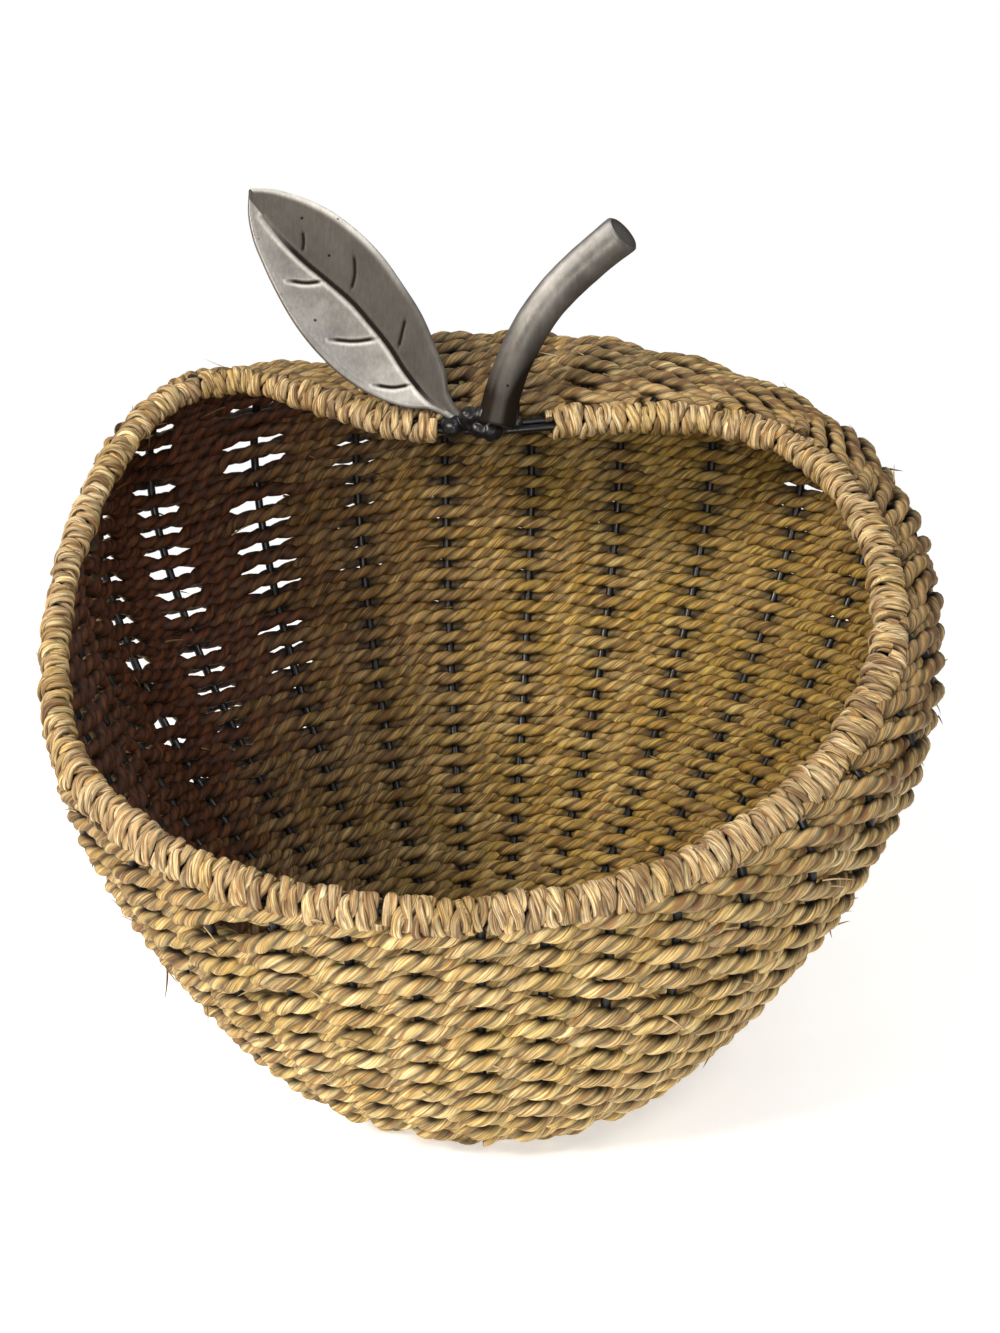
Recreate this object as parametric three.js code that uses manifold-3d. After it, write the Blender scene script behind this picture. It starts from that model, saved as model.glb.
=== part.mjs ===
// Apple-shaped basket: seagrass cord woven on a black wire frame, with a wrapped slanted rim
// and a cast metal leaf and stem standing in the dip at the back. Millimetres, +Z up, front towards -Y.
import * as THREE from "three";
import { mergeVertices } from "three/addons/utils/BufferGeometryUtils.js";
import Module from "manifold-3d";

const wasm = await Module();
wasm.setup();

// Rim outline, seen from above, and its slant from front to back
const rimWidth = 286;
const rimDepth = 226;
const rimSetBack = 14;
const rimFrontHeight = 102;
const rimBackHeight = 215;
// Right and left, back and front, as shares of half the rim's width and depth
const rimOutlineShares = [
  [0, -1], [0.39, -0.89], [0.75, -0.57], [0.94, -0.18], [0.98, 0.16], [0.93, 0.47], [0.78, 0.72],
  [0.54, 0.82], [0.25, 0.81], [0, 0.78], [-0.25, 0.81], [-0.48, 0.93], [-0.69, 1], [-0.87, 0.88],
  [-0.99, 0.5], [-1.02, -0.02], [-0.92, -0.53], [-0.66, -0.83], [-0.34, -0.97],
];
const dipRight = 2.4;
// Place of the dip in the row of stakes, counted from the front to the right
const dipStakePosition = 15.4;

// Wall, from the edge of the base up to the rim, on its four sides
const baseRadius = 68;
// How far the wall runs on in its first and last direction: shares of the straight way from base to rim,
// for the front, right, back and left
const wallFootPullShares = [0.34, 0.75, 0.78, 0.23];
const wallRimPullShares = [0.18, 0.21, 0.72, 0.17];
// Rise of the wall from the floor at the base, and its lean inwards at the rim, in degrees
const wallFootAngles = [34, 48, 24, 28];
const wallRimAngles = [-20, 73, 132, 11];

// Wire frame
const stakeCount = 31;
const stakeDiameter = 2.6;
const rimWireDiameter = 3;
const hubRingDiameter = 34;
const wireGap = 0.3;

// Seagrass
const cordDiameter = 4.4;
const cordsPerCourse = 5;
const courseGap = 1.2;
const wrapThickness = 1.8;
const wrapStrandWidth = 8;
const wrapValleyDepth = 0.7;
const wrapSectionCount = 4;
const bareRimLength = 41;
const cornerCutShare = 0.55;
const baseMatOverhang = 1.5;
const baseMatInset = 4;

// Clearance between neighbouring pieces that touch on the real basket
const clearance = 0.35;

// Leaf and stem, in a plane through the rim wires in the dip that leans back from upright
const crownAngle = 20.5;
const leafLength = 113;
const leafAngle = 132;
const leafRootAcross = 15;
const leafRootUp = 5;
const leafStandOff = 4.5;
const leafThickness = 2.6;
const leafCupDepth = 5;
const leafGrooveDepth = 0.9;
const leafGrooveWidth = 2.4;
// Place along the leaf, half width on the upper side, half width on the lower side: shares of its length.
// The first two rows are the tang below the blade.
const leafOutlineShares = [
  [-0.08, 0.026, 0.026], [0.02, 0.028, 0.03], [0.06, 0.04, 0.05], [0.1, 0.068, 0.09], [0.2, 0.108, 0.152],
  [0.3, 0.142, 0.186], [0.42, 0.163, 0.2], [0.55, 0.176, 0.194], [0.67, 0.168, 0.17], [0.78, 0.144, 0.138],
  [0.88, 0.1, 0.1], [0.95, 0.056, 0.056], [1, 0.008, 0.008],
];
const stemDiameter = 13.6;
const stemTipDiameter = 15.4;
const stemChamfer = 1.2;
const stemRise = 72;
const stemStandOff = 6.5;
// Stem centre line from its foot, across and up in the crown plane: shares of its rise
const stemLineShares = [
  [0.02, 0], [0.035, 0.1], [0.081, 0.275], [0.163, 0.44], [0.275, 0.638], [0.44, 0.796], [0.601, 0.943],
  [0.684, 1],
];
const stemSides = 16;
const stemSteps = 14;
const weldLength = 30;
const weldLeft = 3.5;
const weldStandOff = 1.5;
const weldWidth = 7;
const weldHeight = 4.5;
const weldSinkShare = 0.5;

const seagrass = new THREE.MeshStandardMaterial({ color: "#b89a62", roughness: 0.85, metalness: 0 });
const paleSeagrass = new THREE.MeshStandardMaterial({ color: "#d6bd86", roughness: 0.8, metalness: 0 });
const blackWire = new THREE.MeshStandardMaterial({ color: "#1b1a1a", roughness: 0.4, metalness: 0.6 });
const pewter = new THREE.MeshStandardMaterial({ color: "#8b857e", roughness: 0.38, metalness: 0.95 });

const basket = new THREE.Group();

function addPiece(name, geometry, material) {
  const mesh = new THREE.Mesh(geometry, material);
  mesh.name = name;
  basket.add(mesh);
}

// A closed body through rings of points; the last ring joins the first, or both ends are capped
function loft(rings, closed = false) {
  const sides = rings[0].length;
  const positions = rings.flat().flatMap((point) => [point.x, point.y, point.z]);
  const faces = [];
  const spans = closed ? rings.length : rings.length - 1;
  for (let ring = 0; ring < spans; ring += 1) {
    const next = (ring + 1) % rings.length;
    for (let side = 0; side < sides; side += 1) {
      const turn = (side + 1) % sides;
      const a = ring * sides + side;
      const b = ring * sides + turn;
      const c = next * sides + turn;
      const d = next * sides + side;
      faces.push(a, b, c, a, c, d);
    }
  }
  if (!closed) {
    const last = (rings.length - 1) * sides;
    for (let side = 1; side < sides - 1; side += 1) {
      faces.push(0, side + 1, side, last, last + side, last + side + 1);
    }
  }
  return bodyFrom(positions, faces);
}

function bodyFrom(positions, faces) {
  const geometry = new THREE.BufferGeometry();
  geometry.setAttribute("position", new THREE.Float32BufferAttribute(positions, 3));
  geometry.setIndex(faces);
  if (signedVolume(geometry) < 0) {
    geometry.setIndex(faces.toReversed());
  }
  return geometry;
}

function signedVolume(geometry) {
  const position = geometry.getAttribute("position");
  const index = geometry.getIndex();
  const [a, b, c] = [new THREE.Vector3(), new THREE.Vector3(), new THREE.Vector3()];
  let volume = 0;
  for (let corner = 0; corner < index.count; corner += 3) {
    a.fromBufferAttribute(position, index.getX(corner));
    b.fromBufferAttribute(position, index.getX(corner + 1));
    c.fromBufferAttribute(position, index.getX(corner + 2));
    volume += a.dot(b.cross(c));
  }
  return volume;
}

// A tube with a bore, through outer rings and a second row of inner rings
function sleeve(outerRings, innerRings) {
  const sides = outerRings[0].length;
  const positions = [...outerRings, ...innerRings].flat().flatMap((point) => [point.x, point.y, point.z]);
  const faces = [];
  const addWall = (first, count, flip) => {
    for (let ring = 0; ring < count - 1; ring += 1) {
      for (let side = 0; side < sides; side += 1) {
        const turn = (side + 1) % sides;
        const a = first + ring * sides + side;
        const b = first + ring * sides + turn;
        const quad = [a, b, b + sides, a, b + sides, a + sides];
        faces.push(...(flip ? quad.toReversed() : quad));
      }
    }
  };
  const bore = outerRings.length * sides;
  const lastOuter = bore - sides;
  const lastInner = bore + (innerRings.length - 1) * sides;
  addWall(0, outerRings.length, false);
  addWall(bore, innerRings.length, true);
  for (let side = 0; side < sides; side += 1) {
    const turn = (side + 1) % sides;
    faces.push(side, bore + turn, turn, side, bore + side, bore + turn);
    faces.push(lastOuter + side, lastOuter + turn, lastInner + turn);
    faces.push(lastOuter + side, lastInner + turn, lastInner + side);
  }
  return bodyFrom(positions, faces);
}

function toSolid(geometry) {
  const bare = geometry.clone();
  for (const name of ["normal", "uv"]) {
    bare.deleteAttribute(name);
  }
  const merged = mergeVertices(bare);
  return new wasm.Manifold(new wasm.Mesh({
    numProp: 3,
    vertProperties: new Float32Array(merged.getAttribute("position").array),
    triVerts: new Uint32Array(merged.getIndex().array),
  }));
}

function fromSolid(solid) {
  const mesh = solid.getMesh();
  const geometry = new THREE.BufferGeometry();
  geometry.setAttribute("position", new THREE.BufferAttribute(new Float32Array(mesh.vertProperties), 3));
  geometry.setIndex(new THREE.BufferAttribute(new Uint32Array(mesh.triVerts), 1));
  return geometry;
}

function circleRing(centre, across, along, radius, sides) {
  const ring = [];
  for (let side = 0; side < sides; side += 1) {
    const turn = (side / sides) * Math.PI * 2;
    const reach = across.clone().multiplyScalar(Math.cos(turn)).addScaledVector(along, Math.sin(turn));
    ring.push(centre.clone().addScaledVector(reach, radius));
  }
  return ring;
}

// The eight corners of a rectangle with cut corners
function chamferRing(centre, across, along, halfAcross, halfAlong, cut) {
  const inAcross = halfAcross - cut;
  const inAlong = halfAlong - cut;
  const corners = [
    [halfAcross, inAlong], [inAcross, halfAlong], [-inAcross, halfAlong], [-halfAcross, inAlong],
    [-halfAcross, -inAlong], [-inAcross, -halfAlong], [inAcross, -halfAlong], [halfAcross, -inAlong],
  ];
  return corners.map(([a, b]) => centre.clone().addScaledVector(across, a).addScaledVector(along, b));
}

// Rim line: the middle of the wrapped rim, at a share of its length counted from the front to the right
const rimOutline = new THREE.CatmullRomCurve3(
  rimOutlineShares.map(([right, back]) => new THREE.Vector3(
    right * rimWidth / 2,
    back * rimDepth / 2 + rimSetBack,
    THREE.MathUtils.lerp(rimFrontHeight, rimBackHeight, (back + 1) / 2),
  )),
  true,
  "centripetal",
);
rimOutline.arcLengthDivisions = 1200;
const rimLength = rimOutline.getLength();

const wrapTurn = (share) => share - Math.floor(share);
const rimPoint = (share) => rimOutline.getPointAt(wrapTurn(share));
const rimTangent = (share) => rimOutline.getTangentAt(wrapTurn(share));

// Each stake stands in an upright plane through the middle of the base
function footAngle(share) {
  const rim = rimPoint(share);
  return Math.atan2(rim.y, rim.x);
}

// The rim share of the dip, at the back of the rim
function findDip() {
  const [quarter, threeQuarters] = [0.25, 0.75];
  return findTurn(quarter, threeQuarters, (share) => rimPoint(share).x > dipRight);
}

// The last place before the test fails, between a place where it holds and one where it doesn't
function findTurn(from, to, holds) {
  let [inside, outside] = [from, to];
  const halvings = 30;
  for (let step = 0; step < halvings; step += 1) {
    const middle = (inside + outside) / 2;
    if (holds(middle)) {
      inside = middle;
    } else {
      outside = middle;
    }
  }
  return inside;
}

const dipRimShare = findDip();

// Turn of a place on the rim about the middle of the base, from the front to the right
function turnOf(share) {
  const quarter = 0.25;
  return wrapTurn(footAngle(share) / (Math.PI * 2) + quarter);
}

// The stakes leave the hub at even angles; a place between two stakes has a fractional position
const stakeShares = new Map();
function stakeShare(position) {
  const turn = wrapTurn(turnOf(dipRimShare) + (position - dipStakePosition) / stakeCount);
  if (!stakeShares.has(turn)) {
    stakeShares.set(turn, findTurn(0, 1, (share) => turnOf(share) < turn));
  }
  return stakeShares.get(turn);
}

// A value that runs smoothly between its front, right, back and left values
function bySide([front, right, back, left], share) {
  const rightward = Math.cos(footAngle(share));
  const backward = Math.sin(footAngle(share));
  const across = rightward > 0 ? right : left;
  const along = backward > 0 ? back : front;
  return rightward * rightward * across + backward * backward * along;
}

// The base is a sandwich: a woven mat, the flat run of the stakes, and a second mat
const stakeRadius = stakeDiameter / 2;
const stakeFloor = cordDiameter + wireGap + stakeRadius;

// Middle line of the wall at one share, from the edge of the base to the rim
function wallLine(share) {
  const angle = footAngle(share);
  const outward = new THREE.Vector3(Math.cos(angle), Math.sin(angle), 0);
  const up = new THREE.Vector3(0, 0, 1);
  const foot = outward.clone().multiplyScalar(baseRadius).setZ(stakeFloor);
  const rim = rimPoint(share);
  const rise = THREE.MathUtils.degToRad(bySide(wallFootAngles, share));
  const lean = THREE.MathUtils.degToRad(bySide(wallRimAngles, share));
  const straight = foot.distanceTo(rim);
  const footReach = bySide(wallFootPullShares, share) * straight;
  const rimReach = bySide(wallRimPullShares, share) * straight;
  const footPull = foot.clone()
    .addScaledVector(outward, footReach * Math.cos(rise))
    .addScaledVector(up, footReach * Math.sin(rise));
  const rimPull = rim.clone()
    .addScaledVector(outward, rimReach * Math.sin(lean))
    .addScaledVector(up, -rimReach * Math.cos(lean));
  return new THREE.CubicBezierCurve3(foot, footPull, rimPull, rim);
}

const wallLines = new Map();
function lineAt(share) {
  const key = wrapTurn(share);
  if (!wallLines.has(key)) {
    wallLines.set(key, wallLine(key));
  }
  return wallLines.get(key);
}

// The line runs straight on beyond the rim, so that the wall's directions stay true close to it
function wallPoint(share, along) {
  const line = lineAt(share);
  const beyond = Math.max(0, along - line.getLength());
  const point = line.getPointAt(Math.min(along / line.getLength(), 1));
  return beyond > 0 ? point.addScaledVector(line.getTangentAt(1), beyond) : point;
}

// Centre, upward tangent, sideways direction and outward normal of the wall
function wallAt(share, along) {
  const line = lineAt(share);
  const step = 0.2 / stakeCount;
  const centre = wallPoint(share, along);
  const upward = line.getTangentAt(Math.min(along / line.getLength(), 1));
  const sideways = wallPoint(share + step, along).sub(wallPoint(share - step, along));
  sideways.addScaledVector(upward, -sideways.dot(upward)).normalize();
  return { centre, upward, sideways, outward: sideways.clone().cross(upward) };
}

const wallLength = (share) => lineAt(share).getLength();

// How far down the wall a bar of some half width ends, to stay a given depth under the rim line.
// The wall meets the slanted rim at an angle, so the depth is longer along the wall.
function rimDrop(share, depth, halfWidth) {
  const upward = wallAt(share, wallLength(share)).upward;
  const cosine = Math.abs(upward.dot(rimTangent(share)));
  const sine = Math.sqrt(1 - cosine * cosine);
  return (depth + halfWidth * cosine) / sine;
}

// Rim cross-section: two wires side by side along the wall, and the wrap round both
const rimWireRadius = rimWireDiameter / 2;
const rimWireSpacing = rimWireDiameter + wireGap;
const boreHalfHeight = rimWireSpacing / 2 + rimWireRadius + clearance;
const boreHalfWidth = rimWireRadius + clearance;
const boreCut = boreHalfWidth * cornerCutShare;
const wrapHalfHeight = boreHalfHeight + wrapThickness;
const wrapHalfWidth = boreHalfWidth + wrapThickness;
const wrapCut = wrapHalfWidth * cornerCutShare;

// Courses: the woven cord, in bands that pass the stakes on alternate sides
const courseHeight = cordDiameter * cordsPerCourse - courseGap;
const courseStep = courseHeight + courseGap;
const weaveOffset = (cordDiameter + stakeDiameter) / 2 + clearance;
const courseStart = baseMatOverhang + clearance;
const wallTop = (share) => wallLength(share) - rimDrop(share, wrapHalfHeight + clearance * 2, cordDiameter / 2);
const shortestCourse = cordDiameter;

// Four corners of a band at one place in the row of stakes, on its own side of the stakes there
function courseRing(course, position, low, high) {
  const share = stakeShare(position);
  const nearest = Math.floor(position);
  const sideOf = (stake) => ((THREE.MathUtils.euclideanModulo(stake, stakeCount) + course) % 2 === 0 ? 1 : -1);
  const swing = THREE.MathUtils.lerp(sideOf(nearest), sideOf(nearest + 1), position - nearest);
  const foot = wallAt(share, low);
  const top = wallAt(share, high);
  const face = top.centre.clone().sub(foot.centre).normalize();
  const square = foot.sideways.clone().cross(face).normalize();
  const corner = (wall, side) => {
    const mitre = 1 / wall.outward.dot(square);
    const across = weaveOffset * swing + side * cordDiameter / 2;
    return wall.centre.clone().addScaledVector(wall.outward, across * mitre);
  };
  return [corner(foot, 1), corner(top, 1), corner(top, -1), corner(foot, -1)];
}

// Each course is a band round the wall; the high ones are parts of a ring that end under the slanted rim
function addCourses() {
  let made = 0;
  const add = (rings, whole) => {
    made += 1;
    addPiece(`weave_course_${String(made).padStart(2, "0")}`, loft(rings, whole), seagrass);
  };
  const places = [...Array(stakeCount * 2).keys()].map((half) => half / 2);
  let runs = [places];
  for (let course = 0; runs.length > 0; course += 1) {
    const low = courseStart + course * courseStep;
    const high = (position) => Math.min(low + courseHeight, wallTop(stakeShare(position)));
    const tall = (position) => high(position) - low >= shortestCourse;
    const ringAt = (position) => courseRing(course, position, low, high(position));
    runs = runsOf(places, tall);
    for (const run of runs) {
      const whole = run.length === places.length;
      if (!whole) {
        const [first, last] = [run[0], run.at(-1)];
        run.unshift(findTurn(first, first - 0.5, tall));
        run.push(findTurn(last, last + 0.5, tall));
      }
      add(run.map(ringAt), whole);
    }
  }
}

// Neighbouring places that pass the test, in runs of two or more
function runsOf(places, passes) {
  const runs = [[]];
  for (const place of places) {
    if (passes(place)) {
      runs.at(-1).push(place);
    } else {
      runs.push([]);
    }
  }
  return runs.filter((run) => run.length > 1);
}

function addStakes() {
  const hubReach = hubRingDiameter / 2 + rimWireRadius + wireGap;
  for (let stake = 0; stake < stakeCount; stake += 1) {
    const share = stakeShare(stake);
    const angle = footAngle(share);
    const outward = new THREE.Vector3(Math.cos(angle), Math.sin(angle), 0);
    const end = wallLength(share) - rimDrop(share, rimWireSpacing / 2 + rimWireRadius + wireGap, stakeRadius);
    const heights = [];
    for (let along = courseStart - courseGap / 2; along < wallTop(share); along += courseStep) {
      heights.push(along);
    }
    heights.push(wallTop(share), end);
    const down = new THREE.Vector3(0, 0, -1);
    const flat = wallAt(share, 0);
    const bend = flat.upward.clone().add(outward).normalize();
    const bendDown = flat.sideways.clone().cross(bend).normalize();
    const rings = [
      circleRing(outward.clone().multiplyScalar(hubReach).setZ(stakeFloor), down, flat.sideways, stakeRadius, 5),
      circleRing(flat.centre, bendDown, flat.sideways, stakeRadius, 5),
    ];
    heights.forEach((along) => {
      const wall = wallAt(share, along);
      rings.push(circleRing(wall.centre, wall.outward, wall.sideways, stakeRadius, 5));
    });
    addPiece(`stake_${String(stake + 1).padStart(2, "0")}`, loft(rings), blackWire);
  }
}

function rimFrame(share) {
  const along = rimTangent(share);
  const upward = wallAt(share, wallLength(share)).upward;
  const level = upward.clone().addScaledVector(along, -upward.dot(along)).normalize();
  return { centre: rimPoint(share), upward: level, outward: along.clone().cross(level).normalize() };
}

// The wrap runs all round the rim but leaves the wires bare where the leaf and stem stand.
// Wires and bores share their stations, so that their facets run side by side.
const bareShare = bareRimLength / rimLength;
const wrapStart = dipRimShare + bareShare / 2;
const sectionShare = (1 - bareShare) / wrapSectionCount;
const boreSteps = 18;
const bareSteps = 4;

function addRimWires() {
  const shares = [];
  for (let step = 0; step < wrapSectionCount * boreSteps; step += 1) {
    shares.push(wrapStart + (step / boreSteps) * sectionShare);
  }
  for (let step = 0; step < bareSteps; step += 1) {
    shares.push(wrapStart - bareShare * (1 - step / bareSteps));
  }
  addPiece("rim_wire_outer", wireRing(shares, -1, rimWireRadius), blackWire);
  addPiece("rim_wire_inner", wireRing(shares, 1, rimWireRadius), blackWire);
}

function wireRing(shares, side, radius, closed = true) {
  const rings = shares.map((share) => {
    const frame = rimFrame(share);
    const centre = frame.centre.addScaledVector(frame.upward, side * rimWireSpacing / 2);
    return circleRing(centre, frame.upward, frame.outward, radius, 6);
  });
  return loft(rings, closed);
}

function addRimWrap() {
  const gapShare = wireGap / rimLength;
  const ribs = Math.round(sectionShare * rimLength / wrapStrandWidth);
  for (let section = 0; section < wrapSectionCount; section += 1) {
    const first = wrapStart + section * sectionShare + gapShare;
    const last = wrapStart + (section + 1) * sectionShare - gapShare;
    const outer = [];
    for (let ring = 0; ring <= ribs * 2; ring += 1) {
      const frame = rimFrame(THREE.MathUtils.lerp(first, last, ring / (ribs * 2)));
      const sink = ring % 2 === 0 ? wrapValleyDepth : 0;
      outer.push(chamferRing(frame.centre, frame.outward, frame.upward,
        wrapHalfWidth - sink, wrapHalfHeight - sink, wrapCut));
    }
    const inner = [];
    for (let step = 0; step <= boreSteps; step += 1) {
      const frame = rimFrame(THREE.MathUtils.lerp(first, last, step / boreSteps));
      inner.push(chamferRing(frame.centre, frame.outward, frame.upward, boreHalfWidth, boreHalfHeight, boreCut));
    }
    let wrap = toSolid(sleeve(outer, inner));
    for (let stake = 0; stake < stakeCount; stake += 1) {
      wrap = wrap.subtract(toSolid(stakeHole(stakeShare(stake))));
    }
    addPiece(`rim_wrap_${section + 1}`, fromSolid(wrap), paleSeagrass);
  }
}

function stakeHole(share) {
  const top = wallAt(share, wallLength(share));
  const depths = [wrapHalfHeight + wrapThickness, rimWireSpacing / 2 + rimWireRadius];
  const rings = depths.map((depth) => circleRing(
    wallAt(share, wallLength(share) - rimDrop(share, depth, stakeRadius)).centre,
    top.outward, top.sideways, stakeRadius + clearance * 1.6, 6,
  ));
  return loft(rings);
}

function addBase() {
  const matProfile = (radius, low) => {
    const shoulder = cordDiameter / 4;
    const high = low + cordDiameter;
    return [
      new THREE.Vector2(0, low),
      new THREE.Vector2(radius - shoulder, low),
      new THREE.Vector2(radius, low + shoulder),
      new THREE.Vector2(radius, high - shoulder),
      new THREE.Vector2(radius - shoulder, high),
      new THREE.Vector2(0, high),
    ];
  };
  const turned = (profile) => {
    const geometry = mergeVertices(bareOf(new THREE.LatheGeometry(profile, stakeCount)));
    return geometry.rotateX(Math.PI / 2);
  };
  addPiece("base_mat_outer", turned(matProfile(baseRadius + baseMatOverhang, 0)), seagrass);
  const inner = matProfile(baseRadius - baseMatInset, stakeFloor + stakeRadius + wireGap);
  addPiece("base_mat_inner", turned(inner), seagrass);

  const hub = [];
  const steps = stakeCount;
  for (let step = 0; step < steps; step += 1) {
    const angle = (step / steps) * Math.PI * 2;
    const outward = new THREE.Vector3(Math.cos(angle), Math.sin(angle), 0);
    const centre = outward.clone().multiplyScalar(hubRingDiameter / 2).setZ(stakeFloor);
    hub.push(circleRing(centre, outward, new THREE.Vector3(0, 0, 1), stakeRadius, 6));
  }
  addPiece("hub_ring", loft(hub, true), blackWire);
}

function bareOf(geometry) {
  geometry.deleteAttribute("normal");
  geometry.deleteAttribute("uv");
  return geometry;
}

// Crown plane: across to the right, up along its lean, and forward, from the rim wires in the dip
const crownFoot = rimPoint(dipRimShare);
const crownLean = THREE.MathUtils.degToRad(crownAngle);
const crownAcross = new THREE.Vector3(1, 0, 0);
const crownUp = new THREE.Vector3(0, Math.sin(crownLean), Math.cos(crownLean));
const crownForward = new THREE.Vector3(0, -Math.cos(crownLean), Math.sin(crownLean));
const weldFloor = crownFoot.z + rimWireRadius * weldSinkShare;
const weldTop = weldFloor + weldHeight;

function crownPoint(across, up, forward) {
  return crownFoot.clone()
    .addScaledVector(crownAcross, across)
    .addScaledVector(crownUp, up)
    .addScaledVector(crownForward, forward);
}

// What stands above the weld
function cutAtWeld(solid) {
  const block = new THREE.BoxGeometry(rimWidth, rimWidth, rimWidth);
  block.translate(crownFoot.x, crownFoot.y, weldTop + wireGap - rimWidth / 2);
  return solid.subtract(toSolid(block));
}

// A long drop of metal that saddles the two wires
function addWeld() {
  const outline = new THREE.Shape();
  const end = weldWidth / 2;
  const run = weldLength / 2 - end;
  outline.absarc(run, 0, end, -Math.PI / 2, Math.PI / 2);
  outline.absarc(-run, 0, end, Math.PI / 2, Math.PI * 3 / 2);
  const bevel = weldHeight / 4;
  const plate = new THREE.ExtrudeGeometry(outline, {
    depth: weldHeight - bevel * 2,
    bevelEnabled: true,
    bevelThickness: bevel,
    bevelSize: bevel,
    bevelOffset: -bevel,
    bevelSegments: 2,
    curveSegments: 6,
  });
  plate.translate(crownFoot.x - weldLeft, crownFoot.y - weldStandOff, weldFloor + bevel);
  const shares = [];
  for (let step = 0; step <= bareSteps * 2; step += 1) {
    shares.push(dipRimShare + bareShare * (step / bareSteps - 1));
  }
  const saddle = [-1, 1].reduce(
    (solid, side) => solid.subtract(toSolid(wireRing(shares, side, rimWireRadius + wireGap * 2, false))),
    toSolid(plate),
  );
  addPiece("crown_weld", fromSolid(saddle), blackWire);
}

function addStem() {
  const line = new THREE.CatmullRomCurve3(
    stemLineShares.map(([across, up]) => new THREE.Vector3(across * stemRise, up * stemRise, 0)),
    false,
    "centripetal",
  );
  const forward = new THREE.Vector3(0, 0, 1);
  const ringAt = (share, trim) => {
    const across = line.getTangentAt(share).cross(forward);
    const radius = THREE.MathUtils.lerp(stemDiameter, stemTipDiameter, share * share) / 2 - trim;
    return circleRing(line.getPointAt(share), across, forward, radius, stemSides)
      .map((point) => crownPoint(point.x, point.y, point.z + stemStandOff));
  };
  const bodyShare = 1 - stemChamfer / line.getLength();
  const rings = [];
  for (let step = 0; step <= stemSteps; step += 1) {
    rings.push(ringAt((step / stemSteps) * bodyShare, 0));
  }
  rings.push(ringAt(1, stemChamfer));
  addPiece("stem", fromSolid(cutAtWeld(toSolid(loft(rings)))), pewter);
}

// The leaf is a cupped plate with a groove along its middle; its narrow root is its tang
function addLeaf() {
  const angle = THREE.MathUtils.degToRad(leafAngle);
  const along = new THREE.Vector2(Math.cos(angle), Math.sin(angle)).multiplyScalar(leafLength);
  const side = new THREE.Vector2(Math.sin(angle), -Math.cos(angle));
  const widest = Math.max(...leafOutlineShares.map(([, , lower]) => lower)) * leafLength;
  const cup = (width) => leafStandOff + leafCupDepth * (width / widest) ** 2;
  const rings = leafOutlineShares.map(([place, upperShare, lowerShare]) => {
    const upper = upperShare * leafLength;
    const lower = lowerShare * leafLength;
    const groove = Math.min(leafGrooveWidth, upper, lower) / 2;
    const depth = leafGrooveDepth * (groove / leafGrooveWidth) * 2;
    const widths = [-lower, -lower / 2, -groove, 0, groove, upper / 2, upper];
    const front = widths.map((width) => [width, cup(width) - (width === 0 ? depth : 0)]);
    const back = widths.toReversed().map((width) => [width, cup(width) - leafThickness]);
    return [...front, ...back].map(([width, forward]) => crownPoint(
      along.x * place + side.x * width - leafRootAcross,
      along.y * place + side.y * width + leafRootUp,
      forward,
    ));
  });
  addPiece("leaf", fromSolid(cutAtWeld(toSolid(loft(rings)))), pewter);
}

addBase();
addStakes();
addCourses();
addRimWires();
addRimWrap();
addWeld();
addStem();
addLeaf();

// The origin is on the floor, under the middle of the whole basket
const bounds = new THREE.Box3().setFromObject(basket);
const middle = bounds.getCenter(new THREE.Vector3());
basket.position.set(-middle.x, -middle.y, 0);

export default basket;
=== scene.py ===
"""Apple-shaped seagrass basket: the woven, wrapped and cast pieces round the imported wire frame."""

import math

import bmesh
import bpy
import numpy as np
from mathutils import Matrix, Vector, noise


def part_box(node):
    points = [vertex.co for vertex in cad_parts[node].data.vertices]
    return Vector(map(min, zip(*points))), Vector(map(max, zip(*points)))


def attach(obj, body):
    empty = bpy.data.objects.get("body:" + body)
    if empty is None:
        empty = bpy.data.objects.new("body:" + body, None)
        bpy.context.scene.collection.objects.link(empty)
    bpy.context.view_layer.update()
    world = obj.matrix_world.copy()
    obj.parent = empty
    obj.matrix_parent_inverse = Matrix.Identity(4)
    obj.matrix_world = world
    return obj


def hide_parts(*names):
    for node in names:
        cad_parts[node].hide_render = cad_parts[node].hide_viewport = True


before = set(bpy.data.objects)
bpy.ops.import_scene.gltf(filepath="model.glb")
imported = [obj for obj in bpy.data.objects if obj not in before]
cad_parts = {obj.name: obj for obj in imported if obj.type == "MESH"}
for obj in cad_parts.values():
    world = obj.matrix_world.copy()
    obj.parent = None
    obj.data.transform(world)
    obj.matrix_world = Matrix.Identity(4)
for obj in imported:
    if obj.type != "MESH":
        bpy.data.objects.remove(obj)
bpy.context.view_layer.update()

bl_info = {
    "name": "Apple basket",
    "version": (1, 0, 0),
    "blender": (4, 5, 0),
    "location": "3D View > Sidebar > Basket",
    "description": "Builds a seagrass basket shaped as an apple, piece by piece",
    "category": "Add Mesh",
}

MM = 0.001
TURN = 2 * math.pi

# Rim outline seen from above, right and back, as shares of half its width and depth
RIM_OUTLINE_SHARES = [
    (0, -1), (0.39, -0.89), (0.75, -0.57), (0.94, -0.18), (0.98, 0.16), (0.93, 0.47), (0.78, 0.72),
    (0.54, 0.82), (0.25, 0.81), (0, 0.78), (-0.25, 0.81), (-0.48, 0.93), (-0.69, 1), (-0.87, 0.88),
    (-0.99, 0.5), (-1.02, -0.02), (-0.92, -0.53), (-0.66, -0.83), (-0.34, -0.97),
]
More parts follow.
